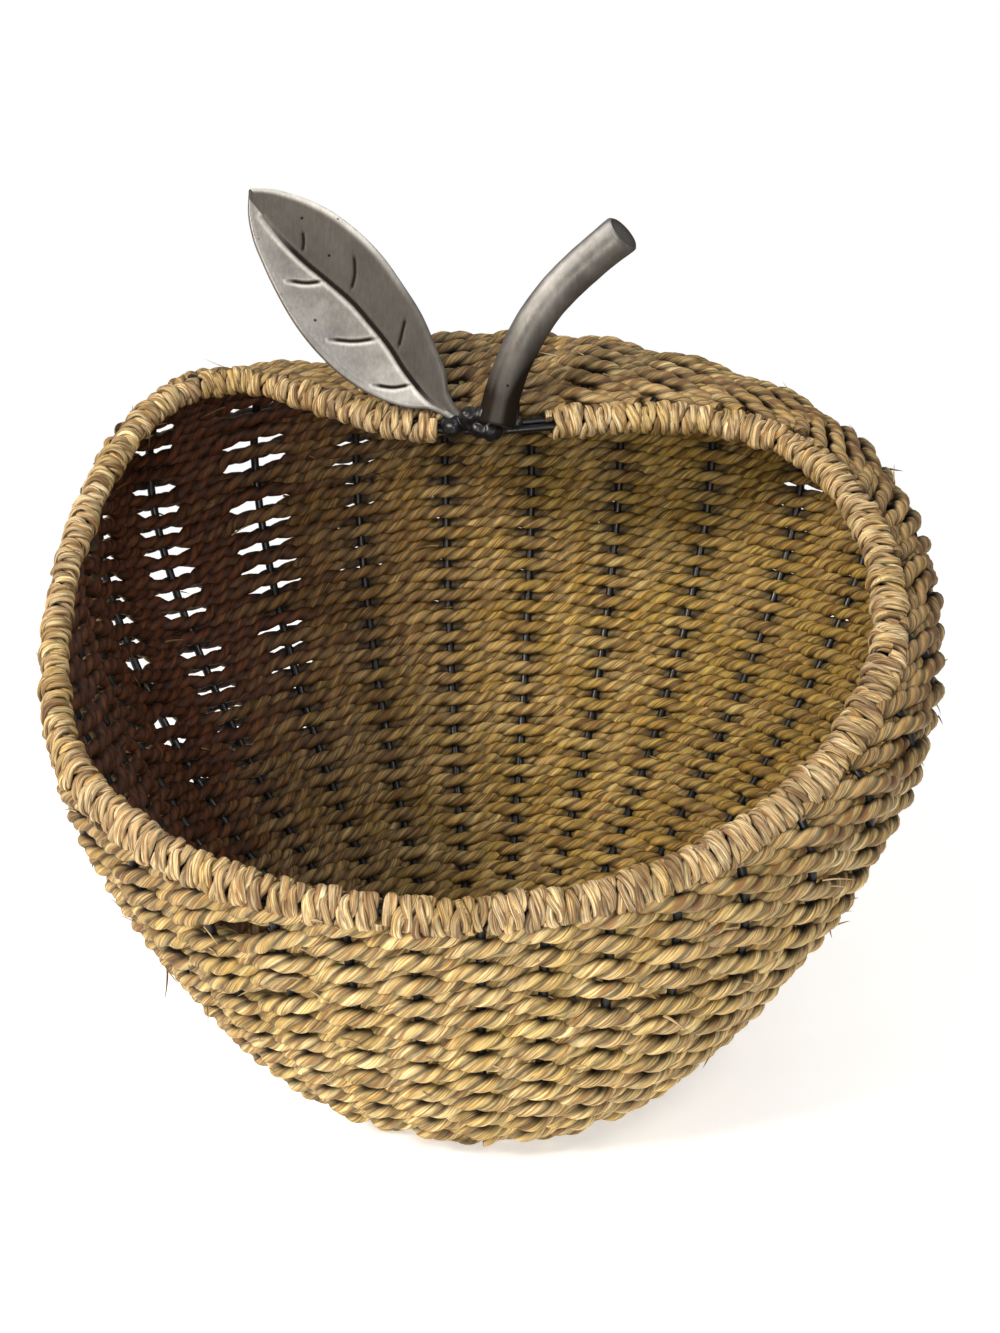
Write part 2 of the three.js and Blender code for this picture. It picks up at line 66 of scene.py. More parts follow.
# Wall at the front, right, back and left: how far it runs on in its first and last direction, as
# shares of the straight way from base to rim, then its rise at the base and its lean inwards at
# the rim, in degrees
WALL_FOOT_PULL_SHARES = (0.34, 0.75, 0.78, 0.23)
WALL_RIM_PULL_SHARES = (0.18, 0.21, 0.72, 0.17)
WALL_FOOT_ANGLES = (34, 48, 24, 28)
WALL_RIM_ANGLES = (-20, 73, 132, 11)

# Places round the basket are counted in stakes from the front, stations are the steps between two
STAKE_COUNT = 31
STATIONS = 12
DIP_POSITION = 15.4
DIP_RIGHT = 2.4 * MM

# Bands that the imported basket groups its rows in, and the place where one goes over into the next
ROWS_PER_COURSE = 5
ROW_HEIGHT = 4.4 * MM
FIRST_ROW = 1.85 * MM
COURSE_GAP = 1.2 * MM
SEAM_POSITION = 21

# Room between pieces, the thickness of the wrap, and the length of rim that it leaves bare
CLEARANCE = 0.35 * MM
WIRE_GAP = 0.3 * MM
WRAP_LAYER = 1.8 * MM
WRAP_SECTIONS = 4
BARE_RIM = 41 * MM

# Swing of a row from one side of the stakes to the other, as a share of the row pitch, and how far
# it rises or sinks there at most
ROW_SWING_SHARE = 0.24
COVER_LIMIT = 1.3 * MM

# Slits between pairs of rows: reach to each side of a stake, in stakes, and lift of each row
SLIT_REACH = 0.3
SLIT_LIFT = 1.75 * MM
# Places in front where rows were pushed apart: how many, how far, and over which height
PARTED_COUNT = 16
PARTED_LIFT_MM = (1.8, 2.9)
PARTED_HEIGHT = 6 * MM

# How far under the middle of the rim the last row ends
LAST_ROW_ROOM = 2.6 * MM

# The photograph shows the stakes as wide dark dashes, so they are shown thicker than their solids
# The thickness beyond the solids is painted shade: black wire where there is only shade beside a
# stake
STAKE_WITH_SHADE_SHARE = 1.3

# Leaf outline: place along it, half width above and below its middle, as shares of its length
LEAF_OUTLINE_SHARES = [
    (-0.08, 0.026, 0.026), (0.02, 0.028, 0.03), (0.06, 0.04, 0.05), (0.1, 0.068, 0.09),
    (0.2, 0.108, 0.152), (0.3, 0.142, 0.186), (0.42, 0.163, 0.2), (0.55, 0.176, 0.194),
    (0.67, 0.168, 0.17), (0.78, 0.144, 0.138), (0.88, 0.1, 0.1), (0.95, 0.056, 0.056),
    (1, 0.008, 0.008),
]
# Engraved lines of the leaf: place along it and distance above its middle, as shares of its length
MIDRIB_SHARES = [
    (0.03, -0.012), (0.08, -0.026), (0.2, -0.022), (0.3, -0.006), (0.4, 0.0), (0.5, 0.001),
    (0.61, -0.013), (0.7, -0.026), (0.8, -0.032), (0.9, -0.028),
]
UPPER_VEIN_SHARES = [
    [(0.727, -0.012), (0.75, 0.014), (0.783, 0.039)],
    [(0.523, 0.02), (0.556, 0.068), (0.613, 0.115)],
    [(0.275, 0.008), (0.308, 0.056), (0.338, 0.1)],
]
LOWER_VEIN_SHARES = [
    [(0.612, -0.025), (0.642, -0.069), (0.688, -0.11)],
    [(0.35, -0.018), (0.393, -0.082), (0.45, -0.138)],
    [(0.16, -0.036), (0.192, -0.088), (0.24, -0.13)],
]
# Middle line of the stem, across and up, as shares of its rise
STEM_LINE_SHARES = [
    (0.02, 0), (0.035, 0.1), (0.081, 0.275), (0.163, 0.44), (0.275, 0.638), (0.44, 0.796),
    (0.601, 0.943), (0.684, 1),
]


# ---------------------------------------------------------------- settings


class BasketSizes(bpy.types.PropertyGroup):
    """Sizes of the basket"""

    rim_width: bpy.props.FloatProperty(
        name="Rim width", description="Rim from left to right", default=0.286, unit="LENGTH")
    rim_depth: bpy.props.FloatProperty(
        name="Rim depth", description="Rim from front to back, seen from above",
        default=0.226, unit="LENGTH")
    rim_set_back: bpy.props.FloatProperty(
        name="Rim set back", description="How far the rim sits behind the base",
        default=0.014, unit="LENGTH")
    rim_front_height: bpy.props.FloatProperty(
        name="Rim height in front", description="Height of the rim's front",
        default=0.102, unit="LENGTH")
    rim_back_height: bpy.props.FloatProperty(
        name="Rim height at the back", description="Height of the rim's back",
        default=0.215, unit="LENGTH")
    base_radius: bpy.props.FloatProperty(
        name="Base radius", description="Middle of the base to the foot of the wall",
        default=0.068, unit="LENGTH")
    stake_diameter: bpy.props.FloatProperty(
        name="Stake diameter", description="Wire that the rows pass", default=0.0026, unit="LENGTH")
    rim_wire_diameter: bpy.props.FloatProperty(
        name="Rim wire diameter", description="Each of the two wires of the rim",
        default=0.003, unit="LENGTH")
    hub_diameter: bpy.props.FloatProperty(
        name="Hub diameter", description="Ring that the stakes start from",
        default=0.034, unit="LENGTH")
    row_pitch: bpy.props.FloatProperty(
        name="Row pitch", description="Height of one woven row", default=0.0044, unit="LENGTH")
    cord_diameter: bpy.props.FloatProperty(
        name="Cord diameter", description="Twisted cord of the rows", default=0.006, unit="LENGTH")
    twist_length: bpy.props.FloatProperty(
        name="Twist length", description="Cord length of one full twist",
        default=0.0172, unit="LENGTH")
    wrap_pitch: bpy.props.FloatProperty(
        name="Wrap pitch", description="Rim length of one turn of the wrap",
        default=0.0056, unit="LENGTH")
    straw_width: bpy.props.FloatProperty(
        name="Straw width", description="Width of one straw of the wrap",
        default=0.0028, unit="LENGTH")
    crown_angle: bpy.props.FloatProperty(
        name="Crown lean", description="Lean of leaf and stem back from upright",
        default=math.radians(20.5), unit="ROTATION")
    leaf_length: bpy.props.FloatProperty(
        name="Leaf length", description="Root to tip", default=0.113, unit="LENGTH")
    leaf_thickness: bpy.props.FloatProperty(
        name="Leaf thickness", description="Thickness of the cast plate",
        default=0.0026, unit="LENGTH")
    stem_diameter: bpy.props.FloatProperty(
        name="Stem diameter", description="Stem at its foot", default=0.0136, unit="LENGTH")
    stem_tip_diameter: bpy.props.FloatProperty(
        name="Stem tip diameter", description="Stem at its cut end",
        default=0.0154, unit="LENGTH")
    stem_rise: bpy.props.FloatProperty(
        name="Stem rise", description="Height of the stem in its own plane",
        default=0.072, unit="LENGTH")
    weld_length: bpy.props.FloatProperty(
        name="Weld length", description="Drop of metal under leaf and stem",
        default=0.03, unit="LENGTH")


def property_names(group):
    """Names of the sizes or colours that a property group holds"""
    return [name for name in group.bl_rna.properties.keys() if name not in ("rna_type", "name")]


def linear(code):
    """Linear colour of a six-digit sRGB code"""
    parts = [int(code[at:at + 2], 16) / 255 for at in (0, 2, 4)]
    return [part / 12.92 if part <= 0.04045 else ((part + 0.055) / 1.055) ** 2.4
            for part in parts]


def colour_property(name, description, code):
    """Property for a colour given as a six-digit sRGB code"""
    return bpy.props.FloatVectorProperty(
        name=name, description=description, subtype="COLOR", size=3, min=0, max=1,
        default=linear(code))


class BasketColours(bpy.types.PropertyGroup):
    """Colours of the basket"""

    straw: colour_property("Straw", "Pale fibres of the woven cord", "f6e6ae")
    tan: colour_property("Tan", "Middle tone of the woven cord", "d6af68")
    bark: colour_property("Bark", "Darkest fibres of the woven cord", "8c6432")
    fleck: colour_property("Fleck", "Orange-brown spots", "b06c34")
    olive: colour_property("Olive", "Green-grey patches", "b2ac7c")
    # Umber is also painted shade: inside on the left, at the sides and under the rim
    umber_and_shade: colour_property("Umber", "Rows of darker, redder cord", "50301b")
    wrap_straw: colour_property("Wrap straw", "Pale straws of the rim", "f7ebc2")
    wrap_tan: colour_property("Wrap tan", "Darker straws of the rim", "d0a668")
    paint: colour_property("Black paint", "Painted wires and weld", "0d0d10")
    pewter: colour_property("Pewter", "Cast metal of leaf and stem", "85807a")
    # Worn pewter is also the colour of the painted highlights and painted light on leaf and stem
    bright: colour_property("Worn pewter", "Rubbed edges of the cast metal", "e6e3dd")
    # Patina is also the colour of painted shade on the upper half of the leaf and down the sides of
    # the stem
    patina_and_shade: colour_property("Patina", "Dark wax in the engraved lines", "1c140d")
    ground: colour_property("Floor", "Floor round the basket", "f4f4f4")


# ---------------------------------------------------------------- lines and the wall


def spline(points, closed, steps=64):
    """Centripetal Catmull-Rom through points, as a close row of points"""
    points = np.asarray(points, float)
    count = len(points)
    if closed:
        rows = [points[np.arange(at - 1, at + 3) % count] for at in range(count)]
    else:
        ends = (2 * points[0] - points[1], 2 * points[-1] - points[-2])
        padded = np.vstack([ends[:1], points, ends[1:]])
        rows = [padded[at:at + 4] for at in range(count - 1)]
    share = np.linspace(0, 1, steps, endpoint=False)[:, None]
    line = []
    for p0, p1, p2, p3 in rows:
        d0, d1, d2 = (np.linalg.norm(b - a) ** 0.5 for a, b in ((p0, p1), (p1, p2), (p2, p3)))
        leave = d1 * ((p1 - p0) / d0 - (p2 - p0) / (d0 + d1) + (p2 - p1) / d1)
        reach = d1 * ((p2 - p1) / d1 - (p3 - p1) / (d1 + d2) + (p3 - p2) / d2)
        line.append(p1 + share * leave + share ** 2 * (3 * (p2 - p1) - 2 * leave - reach)
                    + share ** 3 * (2 * (p1 - p2) + leave + reach))
    return np.vstack([*line, rows[-1][2][None]])


def spaced(line, lengths=None, count=None):
    """Points of a line at the given lengths along it, or at count even places, and its length"""
    run = np.concatenate([[0], np.cumsum(np.linalg.norm(np.diff(line, axis=0), axis=1))])
    if lengths is None:
        lengths = np.linspace(0, run[-1], count)
    points = np.stack([np.interp(lengths, run, line[:, axis]) for axis in range(3)], 1)
    return points, run[-1]


def unit(vectors):
    """Vectors of length 1"""
    return vectors / np.linalg.norm(vectors, axis=-1, keepdims=True)


def ripple(places, seed, period):
    """Smooth seeded wander between about -1 and 1"""
    made = np.random.default_rng(seed)
    total = np.zeros_like(places, float)
    for octave, weight in ((1, 0.6), (1.9, 0.3), (3.7, 0.2)):
        total += weight * np.sin(places * TURN * octave / period + made.uniform(0, TURN))
    return total


def bump(distance, width):
    """1 at no distance, falling smoothly to 0 at the given width"""
    share = np.clip(1 - np.abs(distance) / width, 0, 1)
    return share * share * (3 - 2 * share)


def near(position, middle, width):
    """1 at a place round the basket, falling smoothly to 0 at the given width in stakes"""
    away = np.mod(position - middle + STAKE_COUNT / 2, STAKE_COUNT) - STAKE_COUNT / 2
    return bump(away, width)


def stretches(flags):
    """First and last place of each unbroken run of true flags"""
    first = np.flatnonzero(flags & ~np.concatenate([[False], flags[:-1]]))
    last = np.flatnonzero(flags & ~np.concatenate([flags[1:], [False]]))
    return list(zip(first, last))


def round_points(radius, angle, level):
    """Points at distances and in directions from the middle of the base"""
    return np.stack([radius * np.cos(angle), radius * np.sin(angle), 0 * angle + level], 1)


class Wall:
    """Middle surface of the woven wall, over places in the row of stakes and heights along it"""

    step = 1 * MM
    rim_points = 2401

    def __init__(self, sizes):
        self.sizes = sizes
        low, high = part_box("base_mat_outer")
        self.centre = np.array([(low.x + high.x) / 2, (low.y + high.y) / 2, 0])
        self.stake_radius = sizes.stake_diameter / 2
        self.stake_floor = ROW_HEIGHT + WIRE_GAP + self.stake_radius
        self.rim_even, self.rim_length = spaced(self.make_rim(), count=self.rim_points)
        angle = np.unwrap(np.arctan2(self.rim_even[:, 1], self.rim_even[:, 0]))
        self.rim_turn = (angle - angle[0]) / TURN
        self.rim_share = np.linspace(0, 1, self.rim_points)
        back = (self.rim_share > 0.25) & (self.rim_share < 0.75)
        self.dip_share = np.interp(-DIP_RIGHT, -self.rim_even[back, 0], self.rim_share[back])
        self.dip_turn = np.interp(self.dip_share, self.rim_share, self.rim_turn)
        self.make_surface()
        self.make_rim_frames()

    def make_rim(self):
        """Middle line of the rim, from its front round by the right"""
        sizes = self.sizes
        shares = np.array(RIM_OUTLINE_SHARES, float)
        lift = (shares[:, 1] + 1) / 2
        return spline(np.stack([
            shares[:, 0] * sizes.rim_width / 2,
            shares[:, 1] * sizes.rim_depth / 2 + sizes.rim_set_back,
            sizes.rim_front_height + lift * (sizes.rim_back_height - sizes.rim_front_height),
        ], 1), True)

    def position_of(self, share):
        """Place round the basket of a share of the rim"""
        turn = np.interp(np.mod(share, 1), self.rim_share, self.rim_turn)
        return np.mod((turn - self.dip_turn) * STAKE_COUNT + DIP_POSITION, STAKE_COUNT)

    def share_of(self, position):
        """Share of the rim of a place round the basket"""
        turn = np.mod(self.dip_turn + (position - DIP_POSITION) / STAKE_COUNT, 1)
        return np.interp(turn, self.rim_turn, self.rim_share)

    def at_rim(self, share, table):
        """Values of a table at shares of the rim"""
        share = np.mod(share, 1)
        return np.stack([np.interp(share, self.rim_share, table[:, axis]) for axis in range(3)], -1)

    def rim_at(self, share):
        """Points of the rim's middle line"""
        return self.at_rim(share, self.rim_even)

    def make_surface(self):
        """Points of the wall and its directions up and out, for each place and height"""
        positions = np.arange(STAKE_COUNT * STATIONS) / STATIONS
        rim = self.rim_at(self.share_of(positions))
        angle = np.arctan2(rim[:, 1], rim[:, 0])
        right, back = np.cos(angle), np.sin(angle)

        def by_side(values):
            """Values for front, right, back and left, blended round the basket"""
            across = np.where(right > 0, values[1], values[3])
            along = np.where(back > 0, values[2], values[0])
            return (right ** 2 * across + back ** 2 * along)[:, None]

        out = np.stack([right, back, 0 * right], 1)
        up = np.array([[0, 0, 1]])
        foot = out * self.sizes.base_radius + up * self.stake_floor
        straight = np.linalg.norm(rim - foot, axis=1)[:, None]
        rise = np.radians(by_side(WALL_FOOT_ANGLES))
        lean = np.radians(by_side(WALL_RIM_ANGLES))
        foot_reach = by_side(WALL_FOOT_PULL_SHARES) * straight
        rim_reach = by_side(WALL_RIM_PULL_SHARES) * straight
        first = foot + foot_reach * (out * np.cos(rise) + up * np.sin(rise))
        last = rim + rim_reach * (out * np.sin(lean) - up * np.cos(lean))
        t = np.linspace(0, 1, 201)[None, :, None]
        lines = ((1 - t) ** 3 * foot[:, None] + 3 * (1 - t) ** 2 * t * first[:, None]
                 + 3 * (1 - t) * t ** 2 * last[:, None] + t ** 3 * rim[:, None])
        self.length = np.array([spaced(line, count=2)[1] for line in lines])
        heights = np.arange(0, self.length.max() + 12 * MM, self.step)
        grid = np.empty((len(lines), len(heights), 3))
        for at, line in enumerate(lines):
            grid[at] = spaced(line, lengths=heights)[0]
            beyond = np.clip(heights - self.length[at], 0, None)[:, None]
            grid[at] += unit(line[-1] - line[-2]) * beyond
        self.grid = grid
        self.upward = unit(np.gradient(grid, axis=1))
        sideways = np.roll(grid, -1, 0) - np.roll(grid, 1, 0)
        self.outward = unit(np.cross(unit(sideways), self.upward))

    def sample(self, table, position, height):
        """Values of a table of the wall at places and heights"""
        place = np.mod(position, STAKE_COUNT) * STATIONS
        level = np.clip(np.asarray(height) / self.step, 0, table.shape[1] - 1.001)
        a, b = np.floor(place).astype(int), np.floor(level).astype(int)
        u, v = (place - a)[:, None], (level - b)[:, None]
        a, c = a % len(table), (a + 1) % len(table)
        return ((1 - u) * (1 - v) * table[a, b] + u * (1 - v) * table[c, b]
                + (1 - u) * v * table[a, b + 1] + u * v * table[c, b + 1])

    def length_at(self, position):
        """Length of the wall from its foot to the rim"""
        places = np.arange(len(self.length) + 1) / STATIONS
        lengths = np.append(self.length, self.length[0])
        return np.interp(np.mod(position, STAKE_COUNT), places, lengths)

    def make_rim_frames(self):
        """Directions along the rim, up the wall and out of it, square to one another"""
        position = self.position_of(self.rim_share)
        upward = unit(self.sample(self.upward, position, self.length_at(position)))
        closed = self.rim_even[:-1]
        tangent = unit(np.roll(closed, -1, 0) - np.roll(closed, 1, 0))
        tangent = np.vstack([tangent, tangent[:1]])
        self.rim_upward = unit(upward - tangent * (upward * tangent).sum(1, keepdims=True))
        self.rim_outward = unit(np.cross(tangent, self.rim_upward))
        self.cosine = np.abs((upward * tangent).sum(1))

    def rim_frame(self, share):
        """Points of the rim, and the directions up the wall and out of it there"""
        return (self.rim_at(share), unit(self.at_rim(share, self.rim_upward)),
                unit(self.at_rim(share, self.rim_outward)))

    def drop(self, position, depth, half_width):
        """How far down the wall a piece ends that stays a given depth under the slanted rim"""
        cosine = np.interp(self.share_of(position), self.rim_share, self.cosine)
        return (depth + half_width * cosine) / np.sqrt(1 - cosine ** 2)


def crown_axes(wall):
    """Foot of the crown plane and its directions across, up and forward"""
    lean = wall.sizes.crown_angle
    foot = wall.rim_at(np.array([wall.dip_share]))[0] + wall.centre
    across = np.array([1.0, 0, 0])
    up = np.array([0, math.sin(lean), math.cos(lean)])
    forward = np.array([0, -math.cos(lean), math.sin(lean)])
    return foot, across, up, forward


# ---------------------------------------------------------------- nodes


def add(tree, kind, options=None, values=None, links=None):
    """A node with its options, its fixed input values and its links"""
    made = tree.nodes.new(kind)
    for name, value in (options or {}).items():
        setattr(made, name, value)
    for socket, value in (values or {}).items():
        made.inputs[socket].default_value = value
    for socket, source in (links or {}).items():
        tree.links.new(source, made.inputs[socket])
    return made


def new_tree(name, sockets):
    """A geometry node group with a geometry input and output and named inputs"""
    tree = bpy.data.node_groups.new(name, "GeometryNodeTree")
    tree.interface.new_socket("Geometry", in_out="INPUT", socket_type="NodeSocketGeometry")
    for label, kind in sockets:
        tree.interface.new_socket(label, in_out="INPUT", socket_type=kind)
    tree.interface.new_socket("Geometry", in_out="OUTPUT", socket_type="NodeSocketGeometry")
    return tree


def cord_tree():
    """Sweeps a lobed section along lines and twists it: laid cord, flat straw or round wire"""
    tree = bpy.data.node_groups.get("Laid cord")
    if tree:
        return tree
    tree = new_tree("Laid cord", [
        ("Cord diameter", "NodeSocketFloat"), ("Twist length", "NodeSocketFloat"),
        ("Ply count", "NodeSocketFloat"), ("Groove share", "NodeSocketFloat"),
        ("Flatness", "NodeSocketFloat"), ("Step length", "NodeSocketFloat"),
        ("Section sides", "NodeSocketInt"), ("Material", "NodeSocketMaterial"),
    ])
    given = add(tree, "NodeGroupInput").outputs
    line = add(tree, "GeometryNodeMeshToCurve", links={"Mesh": given["Geometry"]})
    line = add(tree, "GeometryNodeCurveSplineType", {"spline_type": "CATMULL_ROM"},
               links={"Curve": line.outputs["Curve"]})
    line = add(tree, "GeometryNodeResampleCurve", {"mode": "LENGTH"},
               links={"Curve": line.outputs["Curve"], "Length": given["Step length"]})
    place = add(tree, "GeometryNodeSplineParameter").outputs
    line = add(tree, "GeometryNodeStoreNamedAttribute", {"data_type": "FLOAT", "domain": "POINT"},
               {"Name": "run"}, {"Geometry": line.outputs["Curve"], "Value": place["Length"]})

    # The section faces away from the wall; twisting starts from there
    facing = add(tree, "GeometryNodeInputNamedAttribute", {"data_type": "FLOAT_VECTOR"},
                 {"Name": "facing"})
    tangent = add(tree, "GeometryNodeInputTangent")
    side = add(tree, "ShaderNodeVectorMath", {"operation": "CROSS_PRODUCT"},
               links={0: tangent.outputs[0], 1: facing.outputs["Attribute"]})
    square = add(tree, "ShaderNodeVectorMath", {"operation": "CROSS_PRODUCT"},
                 links={0: side.outputs[0], 1: tangent.outputs[0]})
    square = add(tree, "ShaderNodeVectorMath", {"operation": "NORMALIZE"},
                 links={0: square.outputs[0]})
    line = add(tree, "GeometryNodeSetCurveNormal", {"mode": "FREE"},
               links={"Curve": line.outputs["Geometry"], "Normal": square.outputs[0]})
    whole = add(tree, "GeometryNodeSplineLength")
    turns = add(tree, "ShaderNodeMath", {"operation": "DIVIDE"},
                links={0: whole.outputs["Length"], 1: given["Twist length"]})
    turns = add(tree, "ShaderNodeMath", {"operation": "ROUND"}, links={0: turns.outputs[0]})
    tilt = add(tree, "ShaderNodeMath", {"operation": "MULTIPLY"},
               links={0: place["Factor"], 1: turns.outputs[0]})
    tilt = add(tree, "ShaderNodeMath", {"operation": "MULTIPLY"}, {1: -TURN}, {0: tilt.outputs[0]})
    line = add(tree, "GeometryNodeSetCurveTilt",
               links={"Curve": line.outputs["Curve"], "Tilt": tilt.outputs[0]})
    size = add(tree, "GeometryNodeInputNamedAttribute", {"data_type": "FLOAT"}, {"Name": "size"})
    radius = add(tree, "ShaderNodeMath", {"operation": "MULTIPLY"},
                 links={0: size.outputs["Attribute"], 1: given["Cord diameter"]})
    radius = add(tree, "ShaderNodeMath", {"operation": "MULTIPLY"}, {1: 0.5},
                 {0: radius.outputs[0]})

    # Section: a circle drawn in towards its middle between the plies
    ring = add(tree, "GeometryNodeCurvePrimitiveCircle", {"mode": "RADIUS"}, {"Radius": 1.0},
               {"Resolution": given["Section sides"]})
    around = add(tree, "GeometryNodeSplineParameter").outputs["Factor"]
    half = add(tree, "ShaderNodeMath", {"operation": "MULTIPLY"}, {1: math.pi}, {0: around})
    half = add(tree, "ShaderNodeMath", {"operation": "MULTIPLY"},
               links={0: half.outputs[0], 1: given["Ply count"]})
    lobe = add(tree, "ShaderNodeMath", {"operation": "COSINE"}, links={0: half.outputs[0]})
    lobe = add(tree, "ShaderNodeMath", {"operation": "ABSOLUTE"}, links={0: lobe.outputs[0]})
    groove = add(tree, "ShaderNodeMath", {"operation": "SUBTRACT"}, {0: 1.0}, {1: lobe.outputs[0]})
    sink = add(tree, "ShaderNodeMath", {"operation": "MULTIPLY"},
               links={0: groove.outputs[0], 1: given["Groove share"]})
    reach = add(tree, "ShaderNodeMath", {"operation": "SUBTRACT"}, {0: 1.0}, {1: sink.outputs[0]})
    here = add(tree, "GeometryNodeInputPosition")
    ring = add(tree, "GeometryNodeStoreNamedAttribute",
               {"data_type": "FLOAT_VECTOR", "domain": "POINT"}, {"Name": "around"},
               {"Geometry": ring.outputs["Curve"], "Value": here.outputs[0]})
    ring = add(tree, "GeometryNodeStoreNamedAttribute", {"data_type": "FLOAT", "domain": "POINT"},
               {"Name": "groove"},
               {"Geometry": ring.outputs["Geometry"], "Value": groove.outputs[0]})
    drawn = add(tree, "ShaderNodeVectorMath", {"operation": "SCALE"},
                links={0: here.outputs[0], "Scale": reach.outputs[0]})
    flat = add(tree, "ShaderNodeCombineXYZ", None, {"Y": 1.0, "Z": 1.0}, {"X": given["Flatness"]})
    drawn = add(tree, "ShaderNodeVectorMath", {"operation": "MULTIPLY"},
                links={0: drawn.outputs[0], 1: flat.outputs[0]})
    ring = add(tree, "GeometryNodeSetPosition",
               links={"Geometry": ring.outputs["Geometry"], "Position": drawn.outputs[0]})

    body = add(tree, "GeometryNodeCurveToMesh", None, {"Fill Caps": True},
               {"Curve": line.outputs["Curve"], "Profile Curve": ring.outputs["Geometry"],
                "Scale": radius.outputs[0]})
    body = add(tree, "GeometryNodeSetShadeSmooth", links={"Geometry": body.outputs["Mesh"]})
    body = add(tree, "GeometryNodeRealizeInstances", links={"Geometry": body.outputs["Geometry"]})
    body = add(tree, "GeometryNodeSetMaterial",
               links={"Geometry": body.outputs["Geometry"], "Material": given["Material"]})
    add(tree, "NodeGroupOutput", links={"Geometry": body.outputs["Geometry"]})
    return tree


def path_mesh(name, lines, centre):
    """Edges along lines, with what the nodes and materials read at each point. A line is a dict
    with points and facing, the direction away from the wall, and, where they aren't left at 1 or
    0: size, a share of the diameter; tone, how dark and red, random and in the rows also painted
    shade; inner, painted shade in the same dark red on the inside alone; shade, painted shade
    inside where a row passes behind a stake; olive, how green inside; strand, a number that sets
    its fibres apart; and closed, for a ring"""
    mesh = bpy.data.meshes.new(name)
    counts = [len(line["points"]) for line in lines]
    starts = np.concatenate([[0], np.cumsum(counts)[:-1]])
    edges = []
    for start, count, line in zip(starts, counts, lines):
        at = np.arange(start, start + count - 1)
        edges.append(np.stack([at, at + 1], 1))
        if line.get("closed"):
            edges.append(np.array([[start + count - 1, start]]))
    points = np.vstack([line["points"] for line in lines]) + centre
    edges = np.vstack(edges)
    mesh.vertices.add(len(points))
    mesh.vertices.foreach_set("co", points.astype(np.float32).ravel())
    mesh.edges.add(len(edges))
    mesh.edges.foreach_set("vertices", edges.astype(np.int32).ravel())
    facing = np.vstack([line["facing"] for line in lines]).astype(np.float32)
    stored = mesh.attributes.new("facing", "FLOAT_VECTOR", "POINT")
    stored.data.foreach_set("vector", facing.ravel())
    for key in ("size", "tone", "inner", "shade", "olive", "strand"):
        usual = 1 if key == "size" else 0
        values = [np.broadcast_to(line.get(key, usual), count)
                  for line, count in zip(lines, counts)]
        mesh.attributes.new(key, "FLOAT", "POINT").data.foreach_set(
            "value", np.concatenate(values).astype(np.float32))
    mesh.update()
    return mesh


def grow(name, mesh, tree, inputs):
    """Runs a geometry node group on a mesh and keeps the result as a plain mesh object"""
    seed = bpy.data.objects.new(name + "_lines", mesh)
    bpy.context.scene.collection.objects.link(seed)
    modifier = seed.modifiers.new("Build", "NODES")
    modifier.node_group = tree
    for item in tree.interface.items_tree:
        if item.item_type == "SOCKET" and item.in_out == "INPUT" and item.name in inputs:
            modifier[item.identifier] = inputs[item.name]
    made = settle(seed)
    made.name = name
    return show(name, made)


def settle(seed):
    """Plain mesh of an object with its modifiers applied; the object itself goes"""
    bpy.context.view_layer.update()
    graph = bpy.context.evaluated_depsgraph_get()
    made = bpy.data.meshes.new_from_object(seed.evaluated_get(graph))
    first = seed.data
    bpy.data.objects.remove(seed)
    bpy.data.meshes.remove(first)
    return made


def show(name, mesh, material=None):
    """Object of a finished mesh, at the origin"""
    obj = bpy.data.objects.new(name, mesh)
    bpy.context.scene.collection.objects.link(obj)
    if material:
        mesh.materials.append(material)
    if not mesh.polygons:
        raise RuntimeError(f"{name} came out empty")
    return obj


def fit(obj, nodes):
    """Places a finished piece in the frame, in the place of its CAD nodes"""
    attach(obj, "root")
    if nodes:
        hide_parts(*nodes)


def grid_mesh(name, points, attributes, closed_across=False, caps=False):
    """Quads over a grid of points (rows, columns, 3), with values for each point"""
    rows, columns = points.shape[:2]
    at = np.arange(rows * columns).reshape(rows, columns)
    right = np.roll(at, -1, 1) if closed_across else at[:, 1:]
    left = at if closed_across else at[:, :-1]
    faces = np.stack([left[:-1], right[:-1], right[1:], left[1:]], -1).reshape(-1, 4).tolist()
    if caps:
        faces += [at[0, ::-1].tolist(), at[-1].tolist()]
    mesh = bpy.data.meshes.new(name)
    mesh.from_pydata(points.reshape(-1, 3).tolist(), [], faces)
    for key, values in attributes.items():
        mesh.attributes.new(key, "FLOAT", "POINT").data.foreach_set(
            "value", np.asarray(values, np.float32).ravel())
    return mesh


def face_out(mesh):
    """Turns the faces of a closed mesh outwards"""
    form = bmesh.new()
    form.from_mesh(mesh)
    bmesh.ops.remove_doubles(form, verts=form.verts, dist=1e-6)
    bmesh.ops.recalc_face_normals(form, faces=form.faces)
    if form.calc_volume(signed=True) < 0:
        bmesh.ops.reverse_faces(form, faces=form.faces)
    form.to_mesh(mesh)
    form.free()
    mesh.update()


# ---------------------------------------------------------------- materials


def new_material(name):
    """A material with its node tree and its shader"""
    material = bpy.data.materials.new(name)
    material.use_nodes = True
    tree = material.node_tree
    tree.nodes.clear()
    shader = add(tree, "ShaderNodeBsdfPrincipled")
    add(tree, "ShaderNodeOutputMaterial", links={"Surface": shader.outputs["BSDF"]})
    return material, tree, shader


def rgba(colour):
    """A linear colour with full cover"""
    return (*colour[:3], 1)


